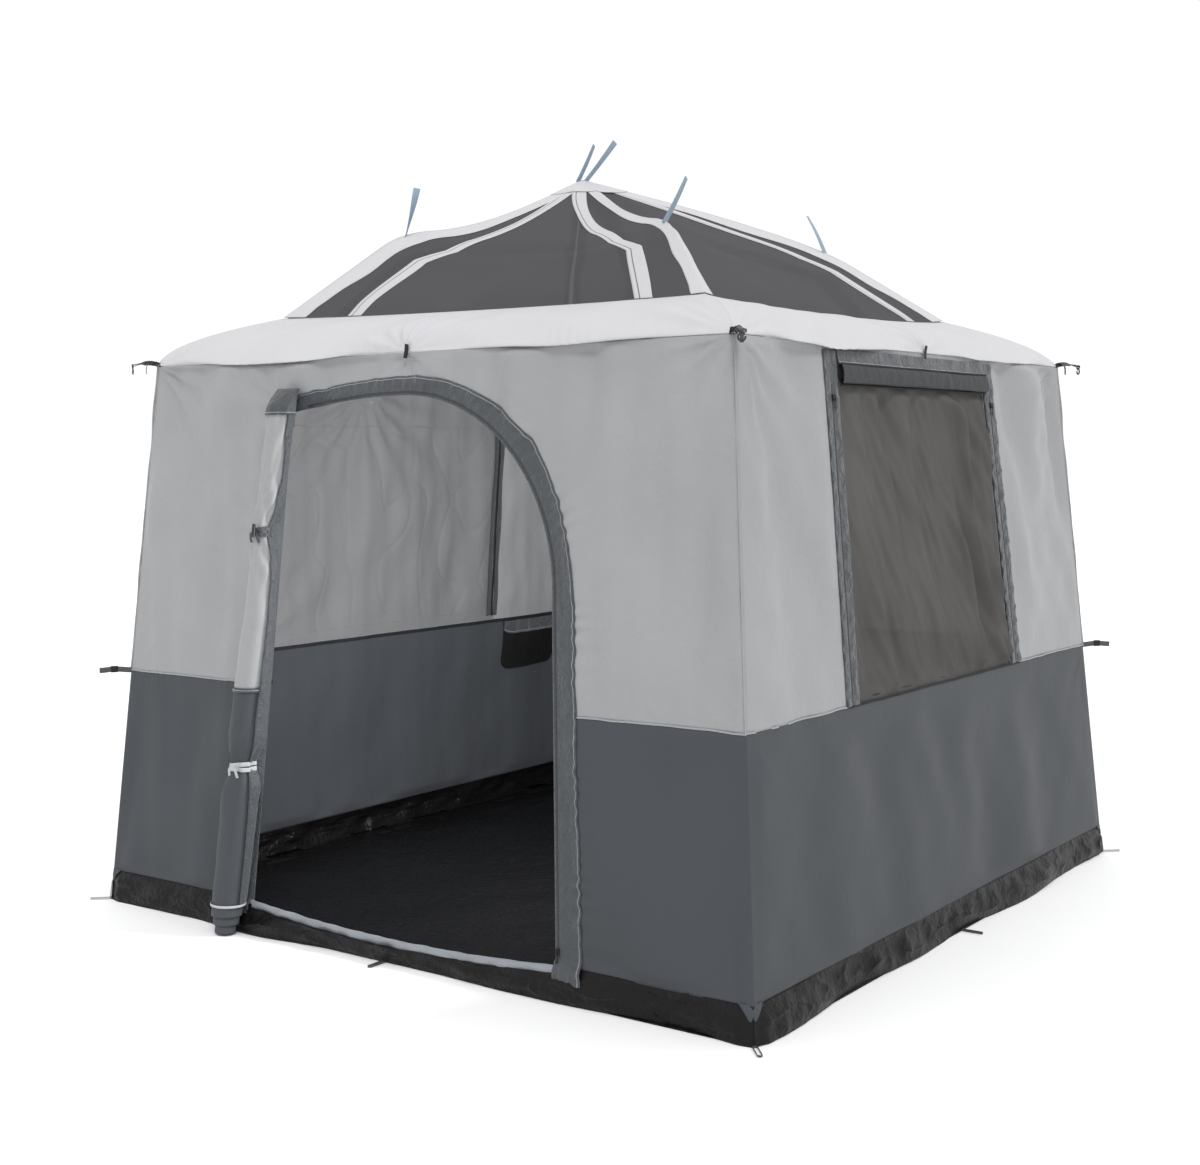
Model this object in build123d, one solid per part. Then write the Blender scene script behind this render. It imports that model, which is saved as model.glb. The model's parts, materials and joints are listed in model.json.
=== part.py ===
from build123d import *
import os

os.makedirs("parts", exist_ok=True)

# A square cabin tent that hangs inside a pop-up canopy frame, in millimetres.
# The origin is on the ground at the middle of the floor, +Z is up and the door faces -Y.
# Each wall is drawn as the front wall, x to the right and z up, and then turned to its side.

# Overall shape
FLOOR = 2750.0  # side of the square floor
EAVE = 2440.0  # side of the square at the eaves
EAVE_H = 1950.0  # height of the eaves
TUB_H = 110.0  # height of the black tub wall
SEAM_H = 848.0  # seam between the dark and the light cloth
CLOTH = 2.0  # thickness given to each sheet
TRIM = 2.0  # thickness of the trims, which lie on the outside of the walls
TAPE = 1.5  # thickness of zip coils, bindings and inner tapes
GAP = 0.3  # clearance between pieces that move past each other

# Roof: share of the way from each eave corner to the peak, and height over the eaves
PEAK = Vector(-130.0, -95.0, EAVE_H + 695.0)
TOP_SHARE = 0.93  # where the hip tapes stop and the peak patch starts, from kink to peak
HIPS = {
    "front_left": {"sign": (-1, -1), "crown": (0.08, 85.0), "mesh": (0.29, 177.0), "kink": (0.57, 495.0)},
    "front_right": {"sign": (1, -1), "crown": (0.05, 75.0), "mesh": (0.15, 135.0), "kink": (0.36, 400.0)},
    "rear_right": {"sign": (1, 1), "crown": (0.08, 85.0), "mesh": (0.25, 177.0), "kink": (0.49, 432.0)},
    "rear_left": {"sign": (-1, 1), "crown": (0.08, 85.0), "mesh": (0.26, 170.0), "kink": (0.48, 450.0)},
}
HIP_TAPE_W = 70.0
RIB_W = 75.0
RIB_SHARES = {  # places of the ribs across a roof face, on its three rows from the eave to the peak
    "front": ((0.20, 0.88), (0.16, 0.88), (0.40, 0.60)),
    "right": ((0.86,), (0.88,), (0.60,)),
    "back": ((0.18, 0.76), (0.10, 0.77), (0.40, 0.60)),
    "left": ((0.86,), (0.88,), (0.60,)),
}

# Sides: hip at the left, hip at the right, turn about Z from the front wall
SIDES = {
    "front": ("front_left", "front_right", 0.0),
    "right": ("front_right", "rear_right", 90.0),
    "back": ("rear_right", "rear_left", 180.0),
    "left": ("rear_left", "front_left", 270.0),
}

# Door, on the front wall
DOOR_ARCH_X = -10.0
DOOR_ARCH_H = EAVE_H - 768.0  # height of the arch's centre
DOOR_ARCH_R = 632.0
DOOR_SHOULDER_X = -520.0
DOOR_SHOULDER_H = DOOR_ARCH_H + 583.0
DOOR_FOOT_LEFT = -620.0
DOOR_FOOT_RIGHT = 688.0
DOOR_TRIM_LEFT = 53.0
DOOR_TRIM_TOP = 62.0
DOOR_TRIM_RIGHT = 92.0
DOOR_ZIP_IN = 10.0  # from the edge of the opening to the zip coil
SILL_W = 28.0
SILL_SAG = 30.0

# Rolled door, tied beside the left jamb
ROLL_TOP_H = DOOR_SHOULDER_H + 25.0
ROLL_FOOT_H = 14.0
ROLL_R_TOP = 46.0
ROLL_R_SEAM = 64.0
ROLL_R_FOOT = 60.0
ROLL_CLEAR = 6.0  # from the trim to the roll
ROLL_SHIFT_TOP = 22.0  # from the left jamb to the middle of the roll
ROLL_SHIFT_FOOT = -42.0
TIE_HEIGHTS = (SEAM_H + 524.0, SEAM_H - 268.0)
TIE_W = 22.0
TIE_T = 2.0
TOGGLE_R = 6.0
TOGGLE_L = 44.0

# Window on the right wall, with its cover rolled up at the head
WINDOW_TOP = EAVE_H - 19.0
WINDOW_LEFT = -715.0
WINDOW_RIGHT_TOP = 554.0
WINDOW_RIGHT_FOOT = 657.0
WINDOW_TRIM_W = 85.0
WINDOW_ROLL_HIGH = WINDOW_TOP - 4.0
WINDOW_ROLL_LOW = WINDOW_ROLL_HIGH - 101.0
WINDOW_ROLL_DEPTH = 26.0

# Window on the left wall, with its cover closed
COVER_HALF = 775.0
COVER_LOW = SEAM_H + 14.0
COVER_HIGH = EAVE_H - 160.0
NET_MARGIN = 45.0  # from the edge of the cover to the net behind it
COVER_ZIP_IN = 30.0  # from the edge of the cover to its zip

# Zips
COIL_W = 6.0
SLIDER_W = 12.0
SLIDER_T = 7.0
SLIDER_L = 20.0
STAPLE_W = 3.0
STAPLE_H = 5.0
STAPLE_L = 14.0
STAPLE_WALL = 2.0
PULL_BAR_R = 1.0
PULL_ARM = 2.0
PULL_W = 8.4
PULL_L = 32.0
PULL_T = 1.8
PULL_NECK = 10.0
SLIDER_PARK = 40.0  # from the end of a zip to its parked slider

# Inside
BINDING_H = 14.0
POCKET_IN = 46.0  # from the corner of the tent at the seam to the pocket
POCKET_W = 429.0
POCKET_H = 229.0
POCKET_DEPTH = 28.0

# Straps and loops
STRAP_W = 25.0
STRAP_T = 2.0
HANGING_STRAPS = {
    "front_left": ((0.0, 0.0), (35.0, 25.0, 170.0)),
    "front_right": ((0.0, 0.0), (54.0, 40.0, 135.0)),
    "rear_right": ((0.0, 0.0), (-54.0, -40.0, 140.0)),
    "rear_left": ((0.0, 0.0), (-34.0, -20.0, 150.0)),
    "peak_left": ((-14.0, -6.0), (48.0, 35.0, 130.0)),
    "peak_right": ((14.0, 8.0), (87.0, 63.0, 140.0)),
}
EAVE_STRAP_W = 20.0
EAVE_STRAP_T = 3.0
EAVE_STRAP_L = 88.0
EYE_R = 4.0  # outside of the strap's end loop
CLIP_BAR_R = 1.8
CLIP_T = 3.6
CLIP_W = 28.0
CLIP_HOOK_R = 13.0
CLIP_HOOK_HOLE_R = 8.0
CLIP_OVERLAP = 1.5  # depth to which the ring runs into the frame above it
TAB_W = 12.0
TAB_H = 44.0
LEG_STRAP_L = 115.0
LEG_STRAP_W = 20.0
LEG_STRAP_T = 3.0
LOOP_L = 74.0
LOOP_W = 16.0
LOOP_T = 2.0
LOOP_H = 6.0
PATCH_W = 14.0
PATCH_H = 62.0


def half_width(z):
    """Half the width of the tent at a height: the four walls lean in evenly."""
    return (FLOOR + (EAVE - FLOOR) * z / EAVE_H) / 2


def polyhedron(points, faces):
    """Closed solid from points and faces that list them anticlockwise as seen from outside."""
    return Solid(Shell([Face(Wire.make_polygon([points[i] for i in face])) for face in faces]))


def slab(low, high, outer, inner):
    """Front-wall slab with mitred ends, between two heights and two insets from the outside."""
    points = []
    for z in (low, high):
        a = half_width(z) - outer
        b = half_width(z) - inner
        points += [Vector(-a, -a, z), Vector(a, -a, z), Vector(b, -b, z), Vector(-b, -b, z)]
    faces = [(3, 2, 1, 0), (4, 5, 6, 7), (0, 1, 5, 4), (1, 2, 6, 5), (2, 3, 7, 6), (3, 0, 4, 7)]
    return polyhedron(points, faces)


def sheet(rows, thickness, drop=0.0):
    """Closed solid whose top is a grid of points, two triangles to a cell, and whose bottom is straight below."""
    width = len(rows[0])
    top = [point - Vector(0, 0, drop) for row in rows for point in row]
    points = top + [point - Vector(0, 0, thickness) for point in top]
    under = len(top)
    faces = []
    for i in range(len(rows) - 1):
        for j in range(width - 1):
            a = i * width + j
            b, c, d = a + 1, a + width + 1, a + width
            faces += [(a, b, c), (a, c, d)]
            faces += [(under + c, under + b, under + a), (under + d, under + c, under + a)]
    last = (len(rows) - 1) * width
    rim = list(range(width)) + [i * width + width - 1 for i in range(1, len(rows))]
    rim += [last + j for j in range(width - 2, -1, -1)] + [i * width for i in range(len(rows) - 2, 0, -1)]
    for a, b in zip(rim, rim[1:] + rim[:1]):
        faces.append((under + a, under + b, b, a))
    return polyhedron(points, faces)


def wall_face(*corners):
    """Face in the front view from its corners (x, z)."""
    return Face(Wire.make_polygon([Vector(x, 0, z) for x, z in corners]))


def through(face):
    """The outline in the front view, carried through the whole front half of the tent."""
    return Solid.extrude(face, Vector(0, -FLOOR, 0))


def turned(shape, side):
    """Front-wall shape turned to its own side of the tent."""
    return shape.rotate(Axis.Z, SIDES[side][2])


def save(name, *shapes):
    """Writes one node, which may hold several separate solids."""
    solids = [solid for shape in shapes for solid in shape.solids()]
    export_step(Compound(solids) if len(solids) > 1 else solids[0], f"parts/{name}.step")


def hip_point(hip, level):
    """Point on a hip: on the plan line from the eave corner to the peak, at its own height."""
    corner = Vector(HIPS[hip]["sign"][0] * EAVE / 2, HIPS[hip]["sign"][1] * EAVE / 2, 0)
    if level == "eave":
        return corner + Vector(0, 0, EAVE_H + CLOTH)
    if level == "top":
        kink = hip_point(hip, "kink")
        return kink + (PEAK - kink) * TOP_SHARE
    share, rise = HIPS[hip][level]
    plan = corner + (Vector(PEAK.X, PEAK.Y, 0) - corner) * share
    return plan + Vector(0, 0, EAVE_H + rise)


def roof_row(side, level, rib_shares):
    """Points across a roof face: edges of the hip tapes and of each rib."""
    left = hip_point(SIDES[side][0], level)
    right = hip_point(SIDES[side][1], level)
    length = (right - left).length
    tape = min(HIP_TAPE_W / 2 / length, 0.3)
    rib = min(RIB_W / 2 / length, 0.05)
    shares = [0.0, tape]
    for middle in rib_shares:
        shares += [middle - rib, middle + rib]
    shares += [1.0 - tape, 1.0]
    return [left + (right - left) * share for share in shares]


def roof_rows(side):
    return [roof_row(side, level, ribs) for level, ribs in zip(("mesh", "kink", "top"), RIB_SHARES[side])]


def columns(rows, first, last):
    return [row[first : last + 1] for row in rows]


def peak_patch():
    """Small white cap where the four hips meet."""
    rim = [hip_point(hip, "top") for hip in ("front_left", "front_right", "rear_right", "rear_left")]
    top = [*rim, PEAK]
    points = top + [point - Vector(0, 0, CLOTH) for point in top]
    faces = []
    for a in range(4):
        b = (a + 1) % 4
        faces += [(a, b, 4), (b + 5, a + 5, 9), (a + 5, b + 5, b, a)]
    return polyhedron(points, faces)


def build_roof():
    halves = {hip: [] for hip in HIPS}
    ribs = []
    for side, (left, right, _) in SIDES.items():
        band = [[hip_point(hip, level) for hip in (left, right)] for level in ("eave", "crown", "mesh")]
        save(f"roof_band_{side}", sheet(band, CLOTH))
        rows = roof_rows(side)
        last = len(rows[0]) - 1
        save(f"roof_mesh_{side}", sheet(columns(rows, 1, last - 1), CLOTH))
        ribs += [sheet(columns(rows, j, j + 1), TAPE, CLOTH) for j in range(2, last - 1, 2)]
        halves[left].append(sheet(columns(rows, 0, 1), CLOTH))
        halves[right].append(sheet(columns(rows, last - 1, last), CLOTH))
    save("hip_tapes", *[Solid.fuse(*pair) for pair in halves.values()])
    save("rib_tapes", *ribs)
    save("peak_patch", peak_patch())


def left_jamb(z):
    """x of the opening's left edge at a height."""
    share = (DOOR_SHOULDER_H - z) / (DOOR_SHOULDER_H - TUB_H)
    return DOOR_SHOULDER_X + (DOOR_FOOT_LEFT - DOOR_SHOULDER_X) * share


def right_jamb(z):
    """x of the opening's right edge at a height below the arch."""
    share = (DOOR_ARCH_H - z) / (DOOR_ARCH_H - TUB_H)
    spring = DOOR_ARCH_X + DOOR_ARCH_R
    return spring + (DOOR_FOOT_RIGHT - spring) * share


def door_face(foot, left=0.0, top=0.0, right=0.0):
    """Door outline, grown by its three margins: two straight jambs, a round arch and a flat left shoulder."""
    spring = Vector(right_jamb(DOOR_ARCH_H) + right, 0, DOOR_ARCH_H)
    apex = Vector(DOOR_ARCH_X, 0, DOOR_ARCH_H + DOOR_ARCH_R + top)
    middle_r = (DOOR_ARCH_R + (top + right) / 2) * 0.5**0.5
    arch_middle = Vector(DOOR_ARCH_X + middle_r, 0, DOOR_ARCH_H + middle_r)
    shoulder = Vector(DOOR_SHOULDER_X - left, 0, DOOR_SHOULDER_H + top * 0.7)
    drop = apex.Z - shoulder.Z
    shoulder_middle = Vector((shoulder.X + apex.X) / 2, 0, apex.Z - drop / 4)
    foot_left = Vector(left_jamb(foot) - left, 0, foot)
    foot_right = Vector(right_jamb(foot) + right, 0, foot)
    edges = [
        Edge.make_line(foot_right, spring),
        Edge.make_three_point_arc(spring, arch_middle, apex),
        Edge.make_three_point_arc(apex, shoulder_middle, shoulder),
        Edge.make_line(shoulder, foot_left),
        Edge.make_line(foot_left, foot_right),
    ]
    return Face(Wire(edges))


def sill_face(above, below):
    """Strip between the jambs whose edges sag: above and below are heights at the jambs."""
    middle_x = (DOOR_FOOT_LEFT + DOOR_FOOT_RIGHT) / 2
    ends = [Vector(x, 0, z) for z in (below, above) for x in (DOOR_FOOT_LEFT, DOOR_FOOT_RIGHT)]
    low_middle = Vector(middle_x, 0, below - SILL_SAG)
    high_middle = Vector(middle_x, 0, above - SILL_SAG)
    edges = [
        Edge.make_three_point_arc(ends[0], low_middle, ends[1]),
        Edge.make_line(ends[1], ends[3]),
        Edge.make_three_point_arc(ends[3], high_middle, ends[2]),
        Edge.make_line(ends[2], ends[0]),
    ]
    return Face(Wire(edges))


def build_tub():
    save("floor_sheet", Pos(0, 0, CLOTH / 2) * Box(FLOOR, FLOOR, CLOTH))
    panel = slab(CLOTH, TUB_H, 0, CLOTH)
    doorway = through(sill_face(TUB_H + SILL_SAG * 2, TUB_H - SILL_W))
    save("tub_wall_front", panel - doorway)
    for side in ("right", "back", "left"):
        save(f"tub_wall_{side}", turned(panel, side))


def build_front_wall():
    opening = through(door_face(CLOTH))
    save("front_wall_upper", slab(SEAM_H, EAVE_H, 0, CLOTH) - opening)
    lower = slab(TUB_H, SEAM_H, 0, CLOTH) - opening
    left, right = sorted(lower.solids(), key=lambda solid: solid.center().X)
    save("front_wall_lower_left", left)
    save("front_wall_lower_right", right)
    trim = through(door_face(TUB_H, DOOR_TRIM_LEFT, DOOR_TRIM_TOP, DOOR_TRIM_RIGHT)) - opening
    save("door_trim", trim & slab(TUB_H, EAVE_H, -TRIM, 0))
    inner, outer = DOOR_ZIP_IN - COIL_W / 2, DOOR_ZIP_IN + COIL_W / 2
    coil = through(door_face(TUB_H, outer, outer, outer)) - through(door_face(CLOTH, inner, inner, inner))
    coil = coil & slab(TUB_H, EAVE_H, -TRIM - TAPE, -TRIM)
    save("door_zip", coil)
    save("door_sill", slab(CLOTH, TUB_H, 0, CLOTH) & through(sill_face(TUB_H, TUB_H - SILL_W)))


def roll_radius(z):
    """Radius of the rolled door at a height."""
    if z > SEAM_H:
        return ROLL_R_SEAM + (ROLL_R_TOP - ROLL_R_SEAM) * (z - SEAM_H) / (ROLL_TOP_H - SEAM_H)
    return ROLL_R_SEAM + (ROLL_R_FOOT - ROLL_R_SEAM) * (SEAM_H - z) / (SEAM_H - ROLL_FOOT_H)


def roll_centre(z):
    """Middle of the rolled door: it follows the left jamb and stands just clear of the trim."""
    share = (DOOR_SHOULDER_H - z) / (DOOR_SHOULDER_H - TUB_H)
    x = left_jamb(z) + ROLL_SHIFT_TOP + (ROLL_SHIFT_FOOT - ROLL_SHIFT_TOP) * share
    return Vector(x, -half_width(z) - TRIM - ROLL_CLEAR - ROLL_R_SEAM, z)


def roll_plane(z):
    """Plane across the roll at a height, with its x to the right."""
    along = roll_centre(ROLL_TOP_H) - roll_centre(ROLL_FOOT_H)
    return Plane(origin=roll_centre(z), x_dir=(1, 0, 0), z_dir=along)


def roll_piece(low, high):
    """Tapered round length of the rolled door."""
    length = (roll_centre(high) - roll_centre(low)).length
    return Solid.make_cone(roll_radius(low), roll_radius(high), length, roll_plane(low))


def tie(z):
    """Strap round the roll, with a tab that reaches back to the trim."""
    inside = max(roll_radius(z - TIE_W), roll_radius(z + TIE_W)) + GAP
    ring = Cylinder(inside + TIE_T, TIE_W) - Cylinder(inside, 2 * TIE_W)
    reach = ROLL_CLEAR + ROLL_R_SEAM - 2 * GAP
    tab = Box(TIE_T * 3, reach - inside, TIE_W)
    tab = Pos(0, inside + (reach - inside) / 2, 0) * tab
    return Location(roll_plane(z)) * (ring + tab)


def build_door_roll():
    save("door_roll_upper", roll_piece(SEAM_H, ROLL_TOP_H))
    save("door_roll_lower", roll_piece(ROLL_FOOT_H, SEAM_H))
    save("door_ties", *[tie(z) for z in TIE_HEIGHTS])
    place = Location(roll_plane(TIE_HEIGHTS[0]))
    out = roll_radius(TIE_HEIGHTS[0]) + TIE_T + TOGGLE_R + 4 * GAP
    toggle = Pos(0, -out, 0) * Cylinder(TOGGLE_R, TOGGLE_L)
    save("door_toggle", place * toggle)
    show("door_toggle_turn", place * Pos(0, -out, 0), Vector(0, -1, 0))


def show(name, place, axis):
    """Prints where a joint is and the way its axis points, in metres."""
    origin = place.position
    way = (place * Pos(axis.X, axis.Y, axis.Z)).position - origin
    print(name, "pos_m", [round(v / 1000, 6) for v in origin], "axis", [round(v, 6) for v in way])


def window_right_edge(z, inset=0.0):
    """x of the right window's outer right edge at a height, moved in by inset."""
    share = (WINDOW_TOP - z) / (WINDOW_TOP - SEAM_H)
    return WINDOW_RIGHT_TOP + (WINDOW_RIGHT_FOOT - WINDOW_RIGHT_TOP) * share - inset


def window_strip(side, inset, width, low, high):
    """Face of an upright strip of the right window, at an inset from its outer edge."""
    if side == "front":
        left = WINDOW_LEFT + inset
        return wall_face((left, low), (left + width, low), (left + width, high), (left, high))
    foot = window_right_edge(low, inset)
    head = window_right_edge(high, inset)
    return wall_face((foot - width, low), (foot, low), (head, high), (head - width, high))


def window_field(low, high, margin=0.0):
    """Face between the two trims of the right window."""
    left = WINDOW_LEFT + WINDOW_TRIM_W + margin
    foot = window_right_edge(low, WINDOW_TRIM_W + margin)
    head = window_right_edge(high, WINDOW_TRIM_W + margin)
    return wall_face((left, low), (foot, low), (head, high), (left, high))


def build_right_wall():
    field = through(window_field(SEAM_H, WINDOW_TOP))
    upper = slab(SEAM_H, EAVE_H, 0, CLOTH)
    save("right_wall_upper", turned(upper - field, "right"))
    save("right_window_net", turned(upper & field, "right"))
    save("right_wall_lower", turned(slab(TUB_H, SEAM_H, 0, CLOTH), "right"))
    on_wall = slab(SEAM_H, WINDOW_TOP, -TRIM, 0)
    trims = [through(window_strip(s, 0, WINDOW_TRIM_W, SEAM_H, WINDOW_TOP)) & on_wall for s in ("front", "rear")]
    save("right_window_trims", *[turned(trim, "right") for trim in trims])
    roll = through(window_field(WINDOW_ROLL_LOW, WINDOW_ROLL_HIGH, GAP))
    roll = roll & slab(WINDOW_ROLL_LOW, WINDOW_ROLL_HIGH, -WINDOW_ROLL_DEPTH, -GAP)
    save("right_window_cover_roll", turned(roll, "right"))
    inset = (WINDOW_TRIM_W - COIL_W) / 2
    on_trim = slab(SEAM_H, WINDOW_TOP, -TRIM - TAPE, -TRIM)
    coils = [through(window_strip(s, inset, COIL_W, SEAM_H, WINDOW_TOP)) & on_trim for s in ("front", "rear")]
    return [turned(coil, "right") for coil in coils]


def build_left_wall():
    edge = COVER_HALF
    cover = wall_face((-edge, COVER_LOW), (edge, COVER_LOW), (edge, COVER_HIGH), (-edge, COVER_HIGH))
    low, high = COVER_LOW + NET_MARGIN, COVER_HIGH - NET_MARGIN
    side = COVER_HALF - NET_MARGIN
    field = through(wall_face((-side, low), (side, low), (side, high), (-side, high)))
    upper = slab(SEAM_H, EAVE_H, 0, CLOTH)
    save("left_wall_upper", turned(upper - field, "left"))
    save("left_window_net", turned(upper & field, "left"))
    save("left_wall_lower", turned(slab(TUB_H, SEAM_H, 0, CLOTH), "left"))
    save("left_window_cover", turned(through(cover) & slab(COVER_LOW, COVER_HIGH, -CLOTH, 0), "left"))
    coils = []
    for middle in (-edge + COVER_ZIP_IN, edge - COVER_ZIP_IN):
        a, b = middle - COIL_W / 2, middle + COIL_W / 2
        strip = through(wall_face((a, low), (b, low), (b, high), (a, high)))
        coils.append(turned(strip & slab(low, high, -CLOTH - TAPE, -CLOTH), "left"))
    return coils


def build_back_wall():
    save("back_wall_upper", turned(slab(SEAM_H, EAVE_H, 0, CLOTH), "back"))
    save("back_wall_lower", turned(slab(TUB_H, SEAM_H, 0, CLOTH), "back"))


def slider():
    """Zip slider: a grooved body that rides on the coil, with a staple for the pull. Y points into the tent."""
    body = Pos(0, -GAP - SLIDER_T / 2, 0) * Box(SLIDER_W, SLIDER_T, SLIDER_L)
    body = chamfer(body.edges().group_by(Axis.Y)[0], 1.2)
    groove = Box(COIL_W + 2 * GAP, 2 * (TAPE + GAP), 2 * SLIDER_L)
    face = -GAP - SLIDER_T
    staple = Pos(0, face - STAPLE_H / 2, 0) * Box(STAPLE_W, STAPLE_H, STAPLE_L)
    tunnel_h = STAPLE_H - STAPLE_WALL
    tunnel = Pos(0, face - tunnel_h / 2, 0) * Box(2 * STAPLE_W, tunnel_h, STAPLE_L - 2 * STAPLE_WALL)
    return body - groove + (staple - tunnel)


def pull_pivot():
    """Middle of the pull's bar, at the foot of the staple's tunnel."""
    tunnel_h = STAPLE_H - STAPLE_WALL
    return Pos(0, -GAP - SLIDER_T - tunnel_h / 2, -STAPLE_L / 2 + STAPLE_WALL + PULL_BAR_R + GAP)


def pull():
    """Pull tab: a bar through the staple, two arms and a flat tab with a hole, hanging along -Z."""
    arm_x = (PULL_W - PULL_ARM) / 2
    bar = Rot(0, 90, 0) * Cylinder(PULL_BAR_R, PULL_W)
    shape = bar
    for x in (-arm_x, arm_x):
        shape += Pos(x, 0, -PULL_NECK / 2) * Box(PULL_ARM, PULL_T, PULL_NECK)
    tab = Pos(0, 0, -(PULL_NECK + PULL_L) / 2) * Box(PULL_W, PULL_T, PULL_L - PULL_NECK)
    hole = Pos(0, 0, -PULL_L + PULL_W / 2) * Rot(90, 0, 0) * Cylinder(PULL_W / 5, 2 * PULL_T)
    return shape + (tab - hole)


def zip_place(side, foot, head, proud, distance):
    """Place on a straight zip of the front view, a distance up from its foot, on a face proud of the wall."""
    low = Vector(foot[0], -half_width(foot[1]) - proud, foot[1])
    high = Vector(head[0], -half_width(head[1]) - proud, head[1])
    along = (high - low).normalized()
    lean = (FLOOR - EAVE) / 2 / EAVE_H
    inward = Vector(0, 1, -lean).normalized()
    plane = Plane(origin=low + along * distance, x_dir=inward.cross(along), z_dir=along)
    return Rot(0, 0, SIDES[side][2]) * Location(plane)


def zips():
    """Each zip by name: side, foot, head, height of its face over the wall, and whether it is parked at its head."""
    middle = WINDOW_TRIM_W / 2
    head = WINDOW_ROLL_LOW
    front = WINDOW_LEFT + middle
    rear = window_right_edge(SEAM_H, middle), window_right_edge(head, middle)
    cover_x = COVER_HALF - COVER_ZIP_IN
    low, high = COVER_LOW + NET_MARGIN, COVER_HIGH - NET_MARGIN
    door_foot = (right_jamb(TUB_H) + DOOR_ZIP_IN, TUB_H)
    door_head = (right_jamb(DOOR_ARCH_H) + DOOR_ZIP_IN, DOOR_ARCH_H)
    return {
        "door": ("front", door_foot, door_head, TRIM, False),
        "right_window_front": ("right", (front, SEAM_H), (front, head), TRIM, True),
        "right_window_rear": ("right", (rear[0], SEAM_H), (rear[1], head), TRIM, True),
        "left_window_rear": ("left", (-cover_x, low), (-cover_x, high), CLOTH, False),
        "left_window_front": ("left", (cover_x, low), (cover_x, high), CLOTH, False),
    }


def build_sliders():
    for name, (side, foot, head, proud, parked_high) in zips().items():
        length = Vector(head[0] - foot[0], half_width(head[1]) - half_width(foot[1]), head[1] - foot[1]).length
        travel = length - 2 * SLIDER_PARK
        place = zip_place(side, foot, head, proud, length - SLIDER_PARK if parked_high else SLIDER_PARK)
        save(f"{name}_slider", place * slider())
        save(f"{name}_pull", place * pull_pivot() * pull())
        show(f"{name}_slide travel {travel / 1000:.4f}", place, Vector(0, 0, -1 if parked_high else 1))
        show(f"{name}_pull_lift", place * pull_pivot(), Vector(-1, 0, 0))


def build_inside():
    low, high = SEAM_H + 1, SEAM_H + 1 + BINDING_H
    strip = slab(low, high, CLOTH, CLOTH + TAPE)
    front = strip - through(door_face(CLOTH, GAP, GAP, GAP))
    save("seam_binding", front, *[turned(strip, side) for side in ("right", "back", "left")])
    top = SEAM_H - 1
    foot = top - POCKET_H
    left = POCKET_IN - half_width(SEAM_H)
    right = left + POCKET_W
    bag = through(wall_face((left, foot), (right, foot), (right, top), (left, top)))
    bag = bag & slab(foot, top, CLOTH, CLOTH + POCKET_DEPTH)
    a, b, low = left + CLOTH, right - CLOTH, foot + CLOTH
    hollow = through(wall_face((a, low), (b, low), (b, top), (a, top)))
    hollow = hollow & slab(low, top, 2 * CLOTH, POCKET_DEPTH)
    save("wall_pocket", turned(bag - hollow, "left"))


def corner_place(hip, z, half):
    """Place at a corner of the tent: X points out along the diagonal, Z is up."""
    sx, sy = HIPS[hip]["sign"]
    return Location(Plane(origin=(sx * half, sy * half, z), x_dir=(sx, sy, 0), z_dir=(0, 0, 1)))


def hanging_strap(foot, lean):
    """Flat webbing strap from a point on the roof to where the canopy frame held it."""
    top = foot + Vector(*lean)
    along = top - foot
    plane = Plane(origin=(foot + top) / 2, x_dir=Vector(0, 0, 1).cross(along), z_dir=along)
    return Location(plane) * Box(STRAP_W, STRAP_T, along.length)


def strap_foot(name, shift):
    """Foot of a hanging strap, just above the tape or the patch that it is sewn to."""
    base = PEAK if name.startswith("peak") else hip_point(name, "kink")
    return base + Vector(shift[0], shift[1], STRAP_W / 4)


def eave_strap():
    """Webbing strap that ends in a round loop, pointing along X."""
    strap = Pos(EAVE_STRAP_L / 2 + GAP, 0, 0) * Box(EAVE_STRAP_L, EAVE_STRAP_W, EAVE_STRAP_T)
    eye = Pos(eye_x(), 0, 0) * Rot(90, 0, 0) * Cylinder(EYE_R, EAVE_STRAP_W)
    bore = Pos(eye_x(), 0, 0) * Rot(90, 0, 0) * Cylinder(CLIP_BAR_R + GAP, 2 * EAVE_STRAP_W)
    return strap + eye - bore


def eye_x():
    return EAVE_STRAP_L + GAP


def clip():
    """Plastic hook that hangs from the strap's loop: a bar, a frame round the loop and an open ring below."""
    frame_low = EYE_R + 1 + CLIP_T
    side = (EAVE_STRAP_W + CLIP_W) / 4 + GAP
    arm = CLIP_W / 2 - EAVE_STRAP_W / 2 - 2 * GAP
    shape = Rot(90, 0, 0) * Cylinder(CLIP_BAR_R, CLIP_W)
    for y in (-side, side):
        shape += Pos(0, y, -frame_low / 2 + CLIP_BAR_R / 2) * Box(CLIP_T, arm, frame_low + CLIP_BAR_R)
    shape += Pos(0, 0, -frame_low + CLIP_T / 2) * Box(CLIP_T, CLIP_W, CLIP_T)
    ring_z = -frame_low - CLIP_HOOK_R + CLIP_OVERLAP
    turn = Pos(0, 0, ring_z) * Rot(0, 90, 0)
    ring = turn * (Cylinder(CLIP_HOOK_R, CLIP_T) - Cylinder(CLIP_HOOK_HOLE_R, 2 * CLIP_T))
    gate = Pos(0, CLIP_HOOK_R, ring_z + CLIP_HOOK_HOLE_R / 2) * Box(2 * CLIP_T, CLIP_HOOK_R, CLIP_T)
    return shape + (ring - gate)


def stake_loop():
    """Loop of narrow webbing on edge, lying out from the foot of the tub along X, with a hole for a peg."""
    outer = SlotOverall(LOOP_L, LOOP_W)
    inner = SlotOverall(LOOP_L - 2 * LOOP_T, LOOP_W - 2 * LOOP_T)
    return Pos(LOOP_L / 2 + GAP, 0, 0) * extrude(outer - inner, LOOP_H)


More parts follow.
